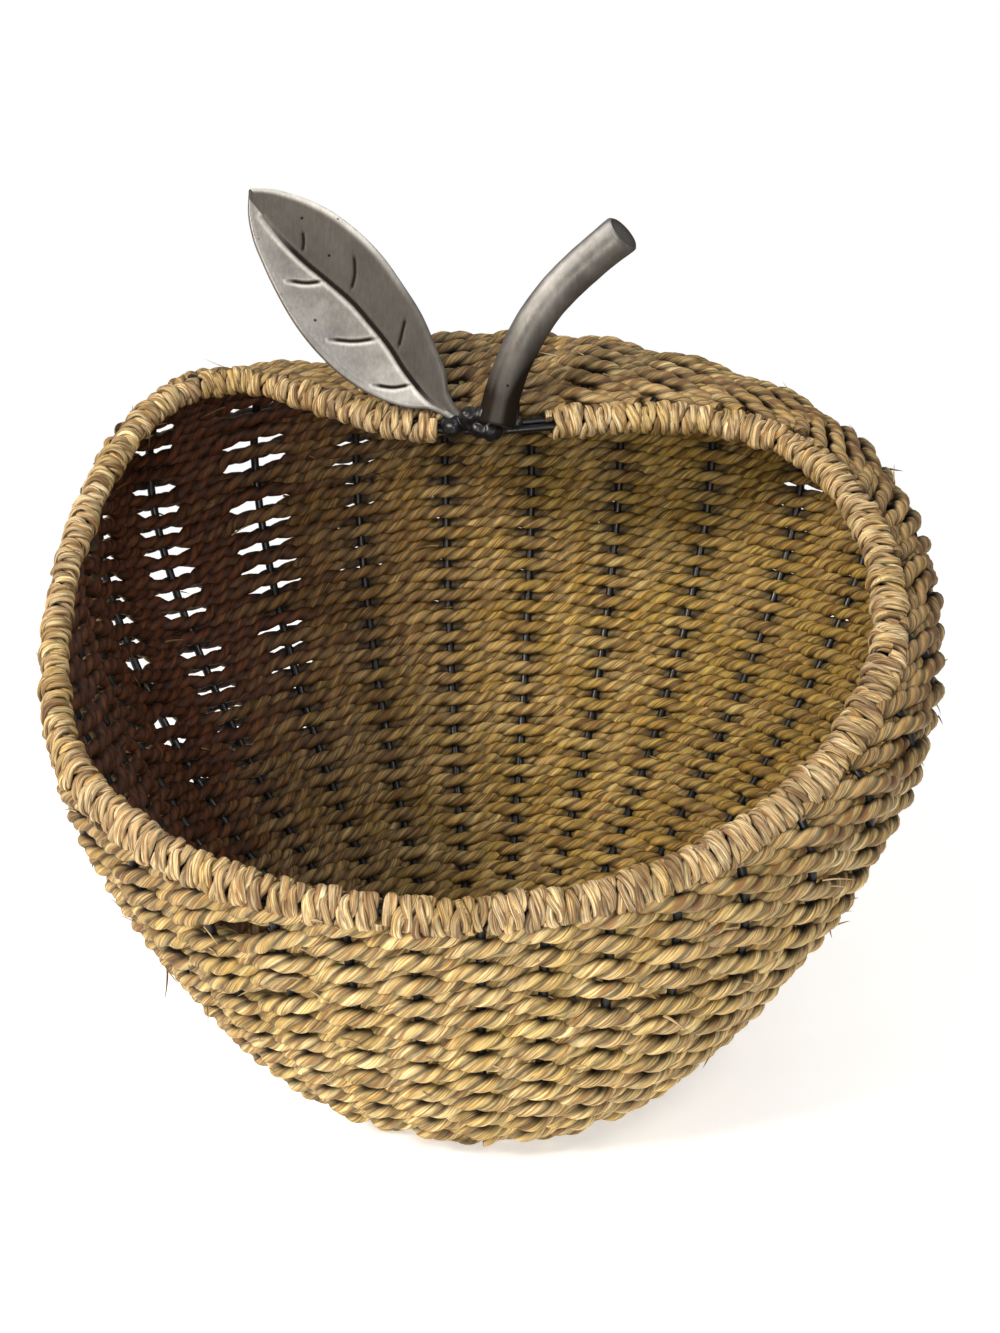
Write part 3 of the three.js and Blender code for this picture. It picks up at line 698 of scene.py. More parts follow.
def seagrass(name, pale, middle, dark, fleck, olive, umber_and_shade):
    """Dried seagrass: fine fibres along each ply, pale to tan, with orange-brown flecks,
    green-grey patches, darker lengths of cord, and painted shade: inside, behind the stakes, at the
    sides, under the rim, and in the grooves between plies and between rows"""
    material = bpy.data.materials.get(name)
    if material:
        return material
    material, tree, shader = new_material(name)
    around, run, strand, tone, green, groove, inner, shade, facing = (
        add(tree, "ShaderNodeAttribute", {"attribute_name": key}) for key in
        ("around", "run", "strand", "tone", "olive", "groove", "inner", "shade", "facing"))
    surface = add(tree, "ShaderNodeNewGeometry")
    place = add(tree, "ShaderNodeTexCoord")
    shift = add(tree, "ShaderNodeMath", {"operation": "MULTIPLY"}, {1: 91.0},
                {0: strand.outputs["Fac"]})

    # 1 on the side of a cord that looks into the basket, 0 on the side that looks out
    side = add(tree, "ShaderNodeVectorMath", {"operation": "DOT_PRODUCT"},
               links={0: facing.outputs["Vector"], 1: surface.outputs["Normal"]})
    inward = add(tree, "ShaderNodeMapRange", None, {"From Min": 0.3, "From Max": -0.3},
                 {"Value": side.outputs["Value"]})

    # Fibres: streaks along the ply, about 22 mm long; coarser than real ones, so that they show
    along = add(tree, "ShaderNodeMath", {"operation": "MULTIPLY_ADD"}, {1: 45.0},
                {0: run.outputs["Fac"], 2: shift.outputs[0]})
    offset = add(tree, "ShaderNodeCombineXYZ", links={"Z": along.outputs[0]})
    path = add(tree, "ShaderNodeVectorMath", {"operation": "MULTIPLY_ADD"}, {1: (4.2, 4.2, 0)},
               {0: around.outputs["Vector"], 2: offset.outputs[0]})
    fibre = add(tree, "ShaderNodeTexNoise", None,
                {"Scale": 1.0, "Detail": 4.0, "Roughness": 0.65}, {"Vector": path.outputs[0]})
    ramp = add(tree, "ShaderNodeValToRGB", links={"Fac": fibre.outputs["Fac"]})
    ramp.color_ramp.elements[0].position = 0.36
    ramp.color_ramp.elements[0].color = rgba(dark)
    ramp.color_ramp.elements[1].position = 0.61
    ramp.color_ramp.elements[1].color = rgba(pale)
    ramp.color_ramp.elements.new(0.47).color = rgba(middle)

    # Lengths of one ply that are paler or darker than their neighbours, 7 to 13 mm long
    short = add(tree, "ShaderNodeMath", {"operation": "MULTIPLY_ADD"}, {1: 150.0},
                {0: run.outputs["Fac"], 2: shift.outputs[0]})
    offset = add(tree, "ShaderNodeCombineXYZ", links={"Z": short.outputs[0]})
    path = add(tree, "ShaderNodeVectorMath", {"operation": "MULTIPLY_ADD"}, {1: (1.1, 1.1, 0)},
               {0: around.outputs["Vector"], 2: offset.outputs[0]})
    blotch = add(tree, "ShaderNodeTexNoise", None, {"Scale": 1.0, "Detail": 2.0},
                 {"Vector": path.outputs[0]})
    level = add(tree, "ShaderNodeMapRange", None,
                {"From Min": 0.36, "From Max": 0.64, "To Min": 0.45, "To Max": 1.25},
                {"Value": blotch.outputs["Fac"]})
    colour = add(tree, "ShaderNodeVectorMath", {"operation": "SCALE"},
                 links={0: ramp.outputs["Color"], "Scale": level.outputs[0]})
    spot = add(tree, "ShaderNodeMapRange", None,
               {"From Min": 0.4, "From Max": 0.3, "To Max": 0.6}, {"Value": blotch.outputs["Fac"]})
    colour = add(tree, "ShaderNodeMix", {"data_type": "RGBA"}, {7: rgba(fleck)},
                 {0: spot.outputs[0], 6: colour.outputs[0]})

    # Patches of 10 to 30 mm that dried greener, most of them inside
    patch = add(tree, "ShaderNodeTexNoise", None, {"Scale": 55.0, "Detail": 3.0},
                {"Vector": place.outputs["Object"]})
    patch = add(tree, "ShaderNodeMapRange", None,
                {"From Min": 0.44, "From Max": 0.62, "To Max": 0.5},
                {"Value": patch.outputs["Fac"]})
    green = add(tree, "ShaderNodeMath", {"operation": "MULTIPLY"},
                links={0: green.outputs["Fac"], 1: inward.outputs[0]})
    patch = add(tree, "ShaderNodeMath", {"operation": "ADD", "use_clamp": True},
                links={0: patch.outputs[0], 1: green.outputs[0]})
    level = add(tree, "ShaderNodeVectorMath", {"operation": "SCALE"}, {"Scale": 1.75},
                {0: colour.outputs[2]})
    tinted = add(tree, "ShaderNodeMix", {"data_type": "RGBA", "blend_type": "MULTIPLY"},
                 {0: 1.0, 7: rgba(olive)}, {6: level.outputs[0]})
    colour = add(tree, "ShaderNodeMix", {"data_type": "RGBA"},
                 links={0: patch.outputs[0], 6: colour.outputs[2], 7: tinted.outputs[2]})

    # Redder, darker lengths of cord, and painted shade in the same dark red: under the rim and at
    # the sides on both faces, and at the left inside on the inner side alone
    tinted = add(tree, "ShaderNodeMix", {"data_type": "RGBA", "blend_type": "MULTIPLY"},
                 {0: 1.0, 7: rgba(umber_and_shade)}, {6: level.outputs[0]})
    red = add(tree, "ShaderNodeMath", {"operation": "MULTIPLY_ADD", "use_clamp": True},
              links={0: inner.outputs["Fac"], 1: inward.outputs[0], 2: tone.outputs["Fac"]})
    colour = add(tree, "ShaderNodeMix", {"data_type": "RGBA"},
                 links={0: red.outputs[0], 6: colour.outputs[2], 7: tinted.outputs[2]})
    # Painted shade on the inner side of a row where it passes behind a stake
    hidden = add(tree, "ShaderNodeMath", {"operation": "MULTIPLY"},
                 links={0: shade.outputs["Fac"], 1: inward.outputs[0]})
    lit = add(tree, "ShaderNodeMath", {"operation": "SUBTRACT"}, {0: 1.0}, {1: hidden.outputs[0]})
    colour = add(tree, "ShaderNodeVectorMath", {"operation": "SCALE"},
                 links={0: colour.outputs[2], "Scale": lit.outputs[0]})

    # Painted shade in the grooves between plies and where rows lie on one another
    edge = add(tree, "ShaderNodeMath", {"operation": "ABSOLUTE"}, links={0: side.outputs["Value"]})
    edge = add(tree, "ShaderNodeMapRange", None,
               {"From Min": 0.1, "From Max": 0.75, "To Min": 0.38, "To Max": 1.0},
               {"Value": edge.outputs[0]})
    colour = add(tree, "ShaderNodeVectorMath", {"operation": "SCALE"},
                 links={0: colour.outputs[0], "Scale": edge.outputs[0]})
    painted_groove_shade = add(tree, "ShaderNodeMapRange", None,
               {"From Min": 0.35, "From Max": 0.95, "To Min": 1.0, "To Max": 0.32},
               {"Value": groove.outputs["Fac"]})
    colour = add(tree, "ShaderNodeVectorMath", {"operation": "SCALE"},
                 links={0: colour.outputs[0], "Scale": painted_groove_shade.outputs[0]})
    tree.links.new(colour.outputs[0], shader.inputs["Base Color"])
    rough = add(tree, "ShaderNodeMapRange", None, {"To Min": 0.5, "To Max": 0.8},
                {"Value": fibre.outputs["Fac"]})
    tree.links.new(rough.outputs[0], shader.inputs["Roughness"])
    relief = add(tree, "ShaderNodeBump", None, {"Strength": 0.8, "Distance": 0.0005},
                 {"Height": fibre.outputs["Fac"]})
    tree.links.new(relief.outputs["Normal"], shader.inputs["Normal"])
    shader.inputs["IOR"].default_value = 1.5
    return material


THIN_PAINT = "5b5a5c"


def painted_wire(colours):
    """Black satin paint on drawn wire: soft highlights, slightly uneven, greyer where it is thin"""
    material = bpy.data.materials.get("Black painted wire")
    if material:
        return material
    material, tree, shader = new_material("Black painted wire")
    place = add(tree, "ShaderNodeTexCoord")
    uneven = add(tree, "ShaderNodeTexNoise", None, {"Scale": 260.0, "Detail": 3.0},
                 {"Vector": place.outputs["Object"]})
    thin = add(tree, "ShaderNodeMapRange", None,
               {"From Min": 0.58, "From Max": 0.75, "To Max": 0.15},
               {"Value": uneven.outputs["Fac"]})
    colour = add(tree, "ShaderNodeMix", {"data_type": "RGBA"},
                 {6: rgba(colours.paint), 7: rgba(linear(THIN_PAINT))}, {0: thin.outputs[0]})
    tree.links.new(colour.outputs[2], shader.inputs["Base Color"])
    rough = add(tree, "ShaderNodeMapRange", None, {"To Min": 0.24, "To Max": 0.5},
                {"Value": uneven.outputs["Fac"]})
    tree.links.new(rough.outputs[0], shader.inputs["Roughness"])
    relief = add(tree, "ShaderNodeBump", None, {"Strength": 0.35, "Distance": 0.0004},
                 {"Height": uneven.outputs["Fac"]})
    tree.links.new(relief.outputs["Normal"], shader.inputs["Normal"])
    return material


def pewter(name, colours, stretch):
    """Antiqued pewter: brushed along one way, mottled grey, pale with rubbed wear and painted
    highlights, with dark wax in the engraved lines, painted shade in the same dark colour, and
    casting pits about 1 mm wide"""
    material = bpy.data.materials.get(name)
    if material:
        return material
    material, tree, shader = new_material(name)
    place = add(tree, "ShaderNodeTexCoord")
    dark = add(tree, "ShaderNodeAttribute", {"attribute_name": "dark"})
    wear_and_highlight = add(tree, "ShaderNodeAttribute", {"attribute_name": "wear_and_highlight"})
    turned = add(tree, "ShaderNodeMapping", None,
                 {"Rotation": (0, math.radians(42), 0), "Scale": stretch},
                 {"Vector": place.outputs["Object"]})
    brush = add(tree, "ShaderNodeTexNoise", None,
                {"Scale": 1.0, "Detail": 4.0, "Roughness": 0.7}, {"Vector": turned.outputs[0]})
    mottle = add(tree, "ShaderNodeTexNoise", None,
                 {"Scale": 75.0, "Detail": 5.0, "Roughness": 0.6},
                 {"Vector": place.outputs["Object"]})
    pits = add(tree, "ShaderNodeTexVoronoi", None, {"Scale": 110.0},
               {"Vector": place.outputs["Object"]})
    pit = add(tree, "ShaderNodeMapRange", None,
              {"From Min": 0.05, "From Max": 0.1, "To Min": 1.0, "To Max": 0.0},
              {"Value": pits.outputs["Distance"]})

    grey = add(tree, "ShaderNodeMapRange", None,
               {"From Min": 0.3, "From Max": 0.7, "To Min": 0.62, "To Max": 1.08},
               {"Value": mottle.outputs["Fac"]})
    line = add(tree, "ShaderNodeMapRange", None,
               {"From Min": 0.3, "From Max": 0.7, "To Min": 0.82, "To Max": 1.12},
               {"Value": brush.outputs["Fac"]})
    level = add(tree, "ShaderNodeMath", {"operation": "MULTIPLY"},
                links={0: grey.outputs[0], 1: line.outputs[0]})
    colour = add(tree, "ShaderNodeMix", {"data_type": "RGBA"},
                 {6: rgba(colours.pewter), 7: rgba(colours.bright)}, {0: wear_and_highlight.outputs["Fac"]})
    colour = add(tree, "ShaderNodeVectorMath", {"operation": "SCALE"},
                 links={0: colour.outputs[2], "Scale": level.outputs[0]})
    wax_and_shade = add(tree, "ShaderNodeMath", {"operation": "MAXIMUM"},
                links={0: dark.outputs["Fac"], 1: pit.outputs[0]})
    colour = add(tree, "ShaderNodeMix", {"data_type": "RGBA"}, {7: rgba(colours.patina_and_shade)},
                 {0: wax_and_shade.outputs[0], 6: colour.outputs[0]})
    tree.links.new(colour.outputs[2], shader.inputs["Base Color"])

    # Wax and painted shade are no metal and shine little; rubbed metal and painted highlights are
    # matt and pale
    matt = add(tree, "ShaderNodeMath", {"operation": "MULTIPLY_ADD", "use_clamp": True}, {1: 0.85},
               {0: wear_and_highlight.outputs["Fac"], 2: wax_and_shade.outputs[0]})
    metal = add(tree, "ShaderNodeMath", {"operation": "SUBTRACT"}, {0: 1.0}, {1: matt.outputs[0]})
    tree.links.new(metal.outputs[0], shader.inputs["Metallic"])
    rough = add(tree, "ShaderNodeMapRange", None,
                {"From Min": 0.3, "From Max": 0.7, "To Min": 0.3, "To Max": 0.5},
                {"Value": mottle.outputs["Fac"]})
    rough = add(tree, "ShaderNodeMath", {"operation": "MULTIPLY_ADD", "use_clamp": True}, {1: 0.35},
                {0: matt.outputs[0], 2: rough.outputs[0]})
    tree.links.new(rough.outputs[0], shader.inputs["Roughness"])
    shine = add(tree, "ShaderNodeMapRange", None, {"To Min": 0.5, "To Max": 0.12},
                {"Value": wax_and_shade.outputs[0]})
    tree.links.new(shine.outputs[0], shader.inputs["Specular IOR Level"])
    height = add(tree, "ShaderNodeMath", {"operation": "MULTIPLY_ADD"}, {1: 0.5},
                 {0: mottle.outputs["Fac"], 2: brush.outputs["Fac"]})
    height = add(tree, "ShaderNodeMath", {"operation": "SUBTRACT"},
                 links={0: height.outputs[0], 1: pit.outputs[0]})
    relief = add(tree, "ShaderNodeBump", None, {"Strength": 0.35, "Distance": 0.0003},
                 {"Height": height.outputs[0]})
    tree.links.new(relief.outputs["Normal"], shader.inputs["Normal"])
    return material


def floor_paint(colours):
    """White floor that shows the soft shadow and runs out into the white behind it"""
    material, tree, shader = new_material("White studio floor")
    shader.inputs["Base Color"].default_value = rgba(colours.ground)
    shader.inputs["Roughness"].default_value = 0.9
    shader.inputs["Specular IOR Level"].default_value = 0.1
    shader.inputs["Emission Color"].default_value = rgba(colours.ground)
    shader.inputs["Emission Strength"].default_value = 0.48
    place = add(tree, "ShaderNodeTexCoord")
    away = add(tree, "ShaderNodeVectorMath", {"operation": "LENGTH"},
               links={0: place.outputs["Object"]})
    fade = add(tree, "ShaderNodeMapRange", {"interpolation_type": "SMOOTHSTEP"},
               {"From Min": 0.28, "From Max": 0.75}, {"Value": away.outputs["Value"]})
    clear = add(tree, "ShaderNodeBsdfTransparent")
    mixed = add(tree, "ShaderNodeMixShader",
                links={0: fade.outputs[0], 1: shader.outputs["BSDF"], 2: clear.outputs[0]})
    output = next(node for node in tree.nodes if node.type == "OUTPUT_MATERIAL")
    tree.links.new(mixed.outputs[0], output.inputs["Surface"])
    return material


# ---------------------------------------------------------------- pieces


def chosen(context):
    """Sizes and colours that are set in the scene"""
    return context.scene.basket_sizes, context.scene.basket_colours


WALLS = {}


def wall_of(context):
    """The wall of the present sizes; pieces built one after another share it"""
    sizes = context.scene.basket_sizes
    key = tuple(getattr(sizes, name) for name in property_names(sizes))
    if key not in WALLS:
        WALLS.clear()
        WALLS[key] = Wall(sizes)
    return WALLS[key]


def woven_cord(colours):
    """The material of the twisted cord"""
    return seagrass("Twisted seagrass cord", colours.straw, colours.tan, colours.bark,
                    colours.fleck, colours.olive, colours.umber_and_shade)


def flat_straw(colours):
    """The material of the untwisted straws of the rim"""
    return seagrass("Flat seagrass straw", colours.wrap_straw, colours.wrap_tan, colours.bark,
                    colours.fleck, colours.olive, colours.umber_and_shade)


def line_inputs(diameter, material, twist=1.0, plies=1.0, groove=0.0, flatness=1.0,
                step=2.5 * MM, sides=12):
    """Inputs of the cord nodes, for a plain round wire unless more is given"""
    return {
        "Cord diameter": diameter, "Twist length": twist, "Ply count": plies,
        "Groove share": groove, "Flatness": flatness, "Step length": step,
        "Section sides": sides, "Material": material,
    }


def cord_inputs(sizes, colours):
    """Inputs of the cord nodes for the twisted cord of two plies"""
    return line_inputs(sizes.cord_diameter, woven_cord(colours), sizes.twist_length, 2.0, 0.32,
                       step=1.3 * MM)


def looseness(position, share):
    """How far rows stand apart beside a stake at the upper left, and less at the upper right.
    Middles and reaches round the basket are in stakes, those up the wall in shares of it"""
    left = near(position, 20.7, 5.2) * bump(share - 0.72, 0.5) * 2.6
    right = near(position, 11, 4.2) * bump(share - 0.9, 0.26) * 2.4
    return np.clip(left, 0, 1.5), np.clip(right, 0, 1.5)


def parted(position, height, wall):
    """Lift of a row beside places where rows under the front of the rim were pushed apart"""
    made = np.random.default_rng(12)
    lift = np.zeros_like(height)
    for _ in range(PARTED_COUNT):
        middle = made.integers(-7, 7) + made.uniform(0.4, 0.6)
        level = wall.length_at(np.array([middle]))[0] * made.uniform(0.6, 0.97)
        reach = np.exp(-(np.abs(height - level) / PARTED_HEIGHT) ** 2)
        most = made.uniform(*PARTED_LIFT_MM) * MM
        beside = near(position, middle, made.uniform(0.6, 0.9))
        lift += most * np.sign(height - level) * beside * reach
    return lift


def row_line(wall, first, last):
    """The weaver between two places, counted on round after round, in and out of the stakes"""
    sizes = wall.sizes
    places = np.arange(round(first * STATIONS), round(last * STATIONS) + 1) / STATIONS
    turns = places / STAKE_COUNT

    # It rises evenly, with a slow wander up and down
    height = FIRST_ROW - COURSE_GAP / 2 + (turns + 0.5) * sizes.row_pitch
    height = height + 0.3 * MM * ripple(places, 5, 7.3) * np.sin(places * 0.37)
    position = np.mod(places, STAKE_COUNT)
    share = height / wall.length_at(position)

    # Rows draw together in pairs beside a stake, and leave a slit between the pairs
    chance = np.random.default_rng(9).random((STAKE_COUNT, 64, 2))
    stake = np.mod(np.round(places).astype(int), STAKE_COUNT)
    level = np.floor(turns / 2).astype(int)
    draw, amount = chance[stake, level, 0], chance[stake, level, 1]
    left, right = looseness(position, share)
    gap = np.where(draw < 0.8, left, 0) + np.where(draw < 0.5, right, 0)
    gap = gap * (0.65 + 0.5 * amount)
    slit = np.clip(1 - (np.abs(places - np.round(places)) / SLIT_REACH) ** 6, 0, 1)
    pair = np.where(np.mod(np.floor(turns), 2) == 0, -1, 1)
    height = height + pair * gap * slit * SLIT_LIFT + parted(position, height, wall)

    # Rows lie side by side along the line of sight, so a row rises or sinks as it goes out or in
    swing = np.cos(math.pi * places) + 0.06 * np.cos(3 * math.pi * places)
    depth = sizes.row_pitch * ROW_SWING_SHARE + wall.stake_radius
    sight = np.array([0, math.cos(sizes.crown_angle), -math.sin(sizes.crown_angle)])
    through = unit(wall.sample(wall.outward, position, height)) @ sight
    rising = unit(wall.sample(wall.upward, position, height)) @ sight
    cover = depth * rising * through / (through ** 2 + 0.06)
    cover = np.clip(cover, -COVER_LIMIT, COVER_LIMIT)
    height = np.maximum(height + swing * cover, 0.5 * MM)
    outward = unit(wall.sample(wall.outward, position, height))
    points = wall.sample(wall.grid, position, height) + outward * (depth * swing)[:, None]
    return places, position, height, points, outward, swing


def course_levels(wall):
    """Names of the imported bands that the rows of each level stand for, from the foot upwards"""
    positions = np.arange(STAKE_COUNT * 2) / 2
    wrap = wall.sizes.rim_wire_diameter + WIRE_GAP / 2 + CLEARANCE + WRAP_LAYER
    top = wall.length_at(positions) - wall.drop(positions, wrap + 2 * CLEARANCE, ROW_HEIGHT / 2)
    course = ROW_HEIGHT * ROWS_PER_COURSE
    levels, made = [], 0
    while True:
        low = FIRST_ROW + len(levels) * course
        tall = np.minimum(low + course - COURSE_GAP, top) - low >= ROW_HEIGHT
        runs = sum(last > first for first, last in stretches(tall))
        if not runs:
            return levels
        levels.append([f"weave_course_{made + at + 1:02d}" for at in range(runs)])
        made += runs


class BASKET_OT_rows(bpy.types.Operator):
    """Weaves the cord round the stakes, row over row"""

    bl_idname = "basket.rows"
    bl_label = "Woven rows"

    def execute(self, context):
        sizes, colours = chosen(context)
        wall = wall_of(context)
        levels = course_levels(wall)
        used = [name for names in levels for name in names]
        known = sorted(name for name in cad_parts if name.startswith("weave_course"))
        if used != known:
            raise RuntimeError(f"the rows stand for {used} and the frame has {known}")
        course = ROWS_PER_COURSE * STAKE_COUNT
        for level, names in enumerate(levels):
            first = level * course + (SEAM_POSITION - STAKE_COUNT if level else 0)
            last = (level + 1) * course + SEAM_POSITION - STAKE_COUNT
            if level == len(levels) - 1:
                last = int(wall.length.max() / sizes.row_pitch + 1) * STAKE_COUNT
            line = row_line(wall, first, last)
            position, height = line[1:3]
            room = wall.drop(position, LAST_ROW_ROOM, sizes.cord_diameter / 2)
            lines = [self.finish(wall, *(values[start:end + 1] for values in line))
                     for start, end in stretches(height < wall.length_at(position) - room)
                     if end + 1 - start >= STATIONS]
            mesh = path_mesh("rows", lines, wall.centre)
            name = f"woven_rows_{level + 1:02d}"
            obj = grow(name, mesh, cord_tree(), cord_inputs(sizes, colours))
            fit(obj, names)
        return {"FINISHED"}

    def finish(self, wall, places, position, height, points, outward, swing):
        """A length of the weaver with its thickness and tones: painted shade at the left inside,
        green at the right inside, and painted shade under the rim, at both sides and behind the
        stakes"""
        share = height / wall.length_at(position)
        left, right = near(position, 21.5, 8.5), near(position, 10.5, 9)
        back, front = near(position, 16, 4), near(position, 0.5, 9)
        # Painted shade on both faces, at the right and at the left
        sides = 0.22 * near(position, 8, 8) + 0.2 * near(position, 25, 4.5)
        # Painted shade under the rim, at the sides and most at the back
        high = bump(share - 0.95, 0.3)
        tone = 0.14 + 0.12 * ripple(places, 3, 47.0) + sides
        tone = tone + (0.24 * (1 - front) + 0.25 * back) * high
        # inner is painted shade on the inner side alone, across the left inside and more towards the
        # top
        inner = 0.08 + 1.1 * left * np.clip(0.25 + share * 1.6, 0, 1)
        olive = 0.2 + 0.42 * right + 0.25 * ripple(places, 4, 31.0)
        outside, crossing = np.clip(swing, 0, 1), 1 - np.abs(swing)
        size = 1 + 0.06 * ripple(places, 7, 11.3)
        size = size + 0.11 * crossing + (0.06 + 0.04 * front) * outside
        # In what it returns, shade is painted shade on the inner side of a row where it passes
        # behind a stake
        return {
            "points": points, "facing": outward, "size": size, "tone": np.clip(tone, 0, 0.9),
            "inner": np.clip(inner, 0, 1), "olive": np.clip(olive, 0, 0.9),
            "shade": 0.75 * np.clip(swing * 3 - 2, 0, 1), "strand": 0.37,
        }


class BASKET_OT_base(bpy.types.Operator):
    """Weaves the base, over and under the flat run of the stakes"""

    bl_idname = "basket.base"
    bl_label = "Woven base"

    # Past these radii the cord passes two stakes at a time, and then one, instead of three
    two_stakes_radius, one_stake_radius = 30 * MM, 44 * MM
    steps_between_stakes = 8

    def execute(self, context):
        sizes, colours = chosen(context)
        wall = wall_of(context)
        pitch = sizes.row_pitch
        depth = pitch * 0.34 + wall.stake_radius
        inner = sizes.hub_diameter / 2 + 4 * MM
        rounds = (sizes.base_radius - inner) / pitch
        steps = int((rounds + 0.85) * STAKE_COUNT) * self.steps_between_stakes
        places = np.arange(steps) / self.steps_between_stakes
        turns = places / STAKE_COUNT
        # The last round grows thinner, so that it fills the gap up to the wall and runs out in it
        last = np.clip(turns - rounds, 0, 1)
        radius = inner + (turns - 0.5 * last) * pitch
        reach = np.where(radius > self.two_stakes_radius, 2, 3)
        reach = np.where(radius > self.one_stake_radius, 1, reach)
        passed = np.cumsum(np.concatenate([[0], np.diff(places) / reach[1:]]))
        lift = wall.stake_floor + depth * np.cos(math.pi * passed)
        lines = [{
            "points": round_points(radius, TURN * (turns - 0.25), lift),
            "size": 1 - 0.8 * last, "tone": 0.2 + 0.1 * ripple(places, 21, 40.0),
            "olive": 0.15, "strand": 0.61,
        }]
        # The middle is a flat spiral under the hub and one above it
        turns = np.linspace(0.35, inner / pitch, 400)
        for level, seed in ((wall.stake_floor - depth, 22), (wall.stake_floor + depth, 23)):
            lines.append({
                "points": round_points(turns * pitch, TURN * turns, level),
                "tone": 0.25 + 0.1 * ripple(turns, seed, 3.0),
                "olive": 0.1, "strand": 0.1 * (seed - 20),
            })
        for line in lines:
            line["facing"] = np.tile([0.0, 0, 1], (len(line["points"]), 1))
        mesh = path_mesh("base", lines, wall.centre)
        obj = grow("woven_base", mesh, cord_tree(), cord_inputs(sizes, colours))
        fit(obj, ["base_mat_outer", "base_mat_inner"])
        return {"FINISHED"}


class BASKET_OT_stakes(bpy.types.Operator):
    """Bends the wire stakes from the hub ring up to the rim"""

    bl_idname = "basket.stakes"
    bl_label = "Wire stakes and hub ring"

    def execute(self, context):
        sizes, colours = chosen(context)
        wall = wall_of(context)
        material = painted_wire(colours)
        stake_inputs = line_inputs(sizes.stake_diameter * STAKE_WITH_SHADE_SHARE, material,
                                   step=3.2 * MM, sides=10)
        for stake in range(STAKE_COUNT):
            mesh = path_mesh("stake", [self.bend(wall, float(stake))], wall.centre)
            obj = grow(f"stake_wire_{stake + 1:02d}", mesh, cord_tree(), stake_inputs)
            fit(obj, [f"stake_{stake + 1:02d}"])
        angle = np.linspace(0, TURN, 64, endpoint=False)
        ring = {
            "points": round_points(sizes.hub_diameter / 2, angle, wall.stake_floor),
            "facing": np.tile([0, 0, 1.0], (len(angle), 1)), "closed": True,
        }
        mesh = path_mesh("hub", [ring], wall.centre)
        obj = grow("hub_wire_ring", mesh, cord_tree(), line_inputs(sizes.stake_diameter, material))
        fit(obj, ["hub_ring"])
        return {"FINISHED"}

    def bend(self, wall, stake):
        """Line of one stake: flat from the hub ring to the foot of the wall, then up to the rim"""
        sizes = wall.sizes
        place = np.array([stake])
        room = wall.drop(place, sizes.rim_wire_diameter + WIRE_GAP * 1.5, wall.stake_radius)
        end = (wall.length_at(place) - room)[0]
        heights = np.append(np.arange(2 * MM, end, 4 * MM), end)
        places = np.full(len(heights), stake)
        foot = wall.sample(wall.grid, place, np.zeros(1))[0]
        start = sizes.hub_diameter / 2 + sizes.rim_wire_diameter / 2 + WIRE_GAP
        hub = unit(foot * [1, 1, 0]) * start + [0, 0, wall.stake_floor]
        flat = hub + (foot - hub) * np.linspace(0, 0.94, 6)[:, None]
        up = np.tile([0, 0, 1.0], (len(flat), 1))
        return {
            "points": np.vstack([flat, wall.sample(wall.grid, places, heights)]),
            "facing": np.vstack([up, wall.sample(wall.outward, places, heights)]),
        }


class BASKET_OT_rim_wires(bpy.types.Operator):
    """Bends the two wires of the rim, which lie bare in the dip"""

    bl_idname = "basket.rim_wires"
    bl_label = "Rim wires"

    def execute(self, context):
        sizes, colours = chosen(context)
        wall = wall_of(context)
        shares = np.linspace(0, 1, 360, endpoint=False)
        centre, upward, outward = wall.rim_frame(shares)
        spacing = sizes.rim_wire_diameter + WIRE_GAP
        for name, side in (("outer", -1), ("inner", 1)):
            points = centre + upward * side * spacing / 2
            line = {"points": points, "facing": outward, "closed": True}
            mesh = path_mesh("wire", [line], wall.centre)
            obj = grow(f"rim_wire_{name}_round", mesh, cord_tree(), line_inputs(
                sizes.rim_wire_diameter, painted_wire(colours), step=1.8 * MM, sides=14))
            fit(obj, [f"rim_wire_{name}"])
        return {"FINISHED"}


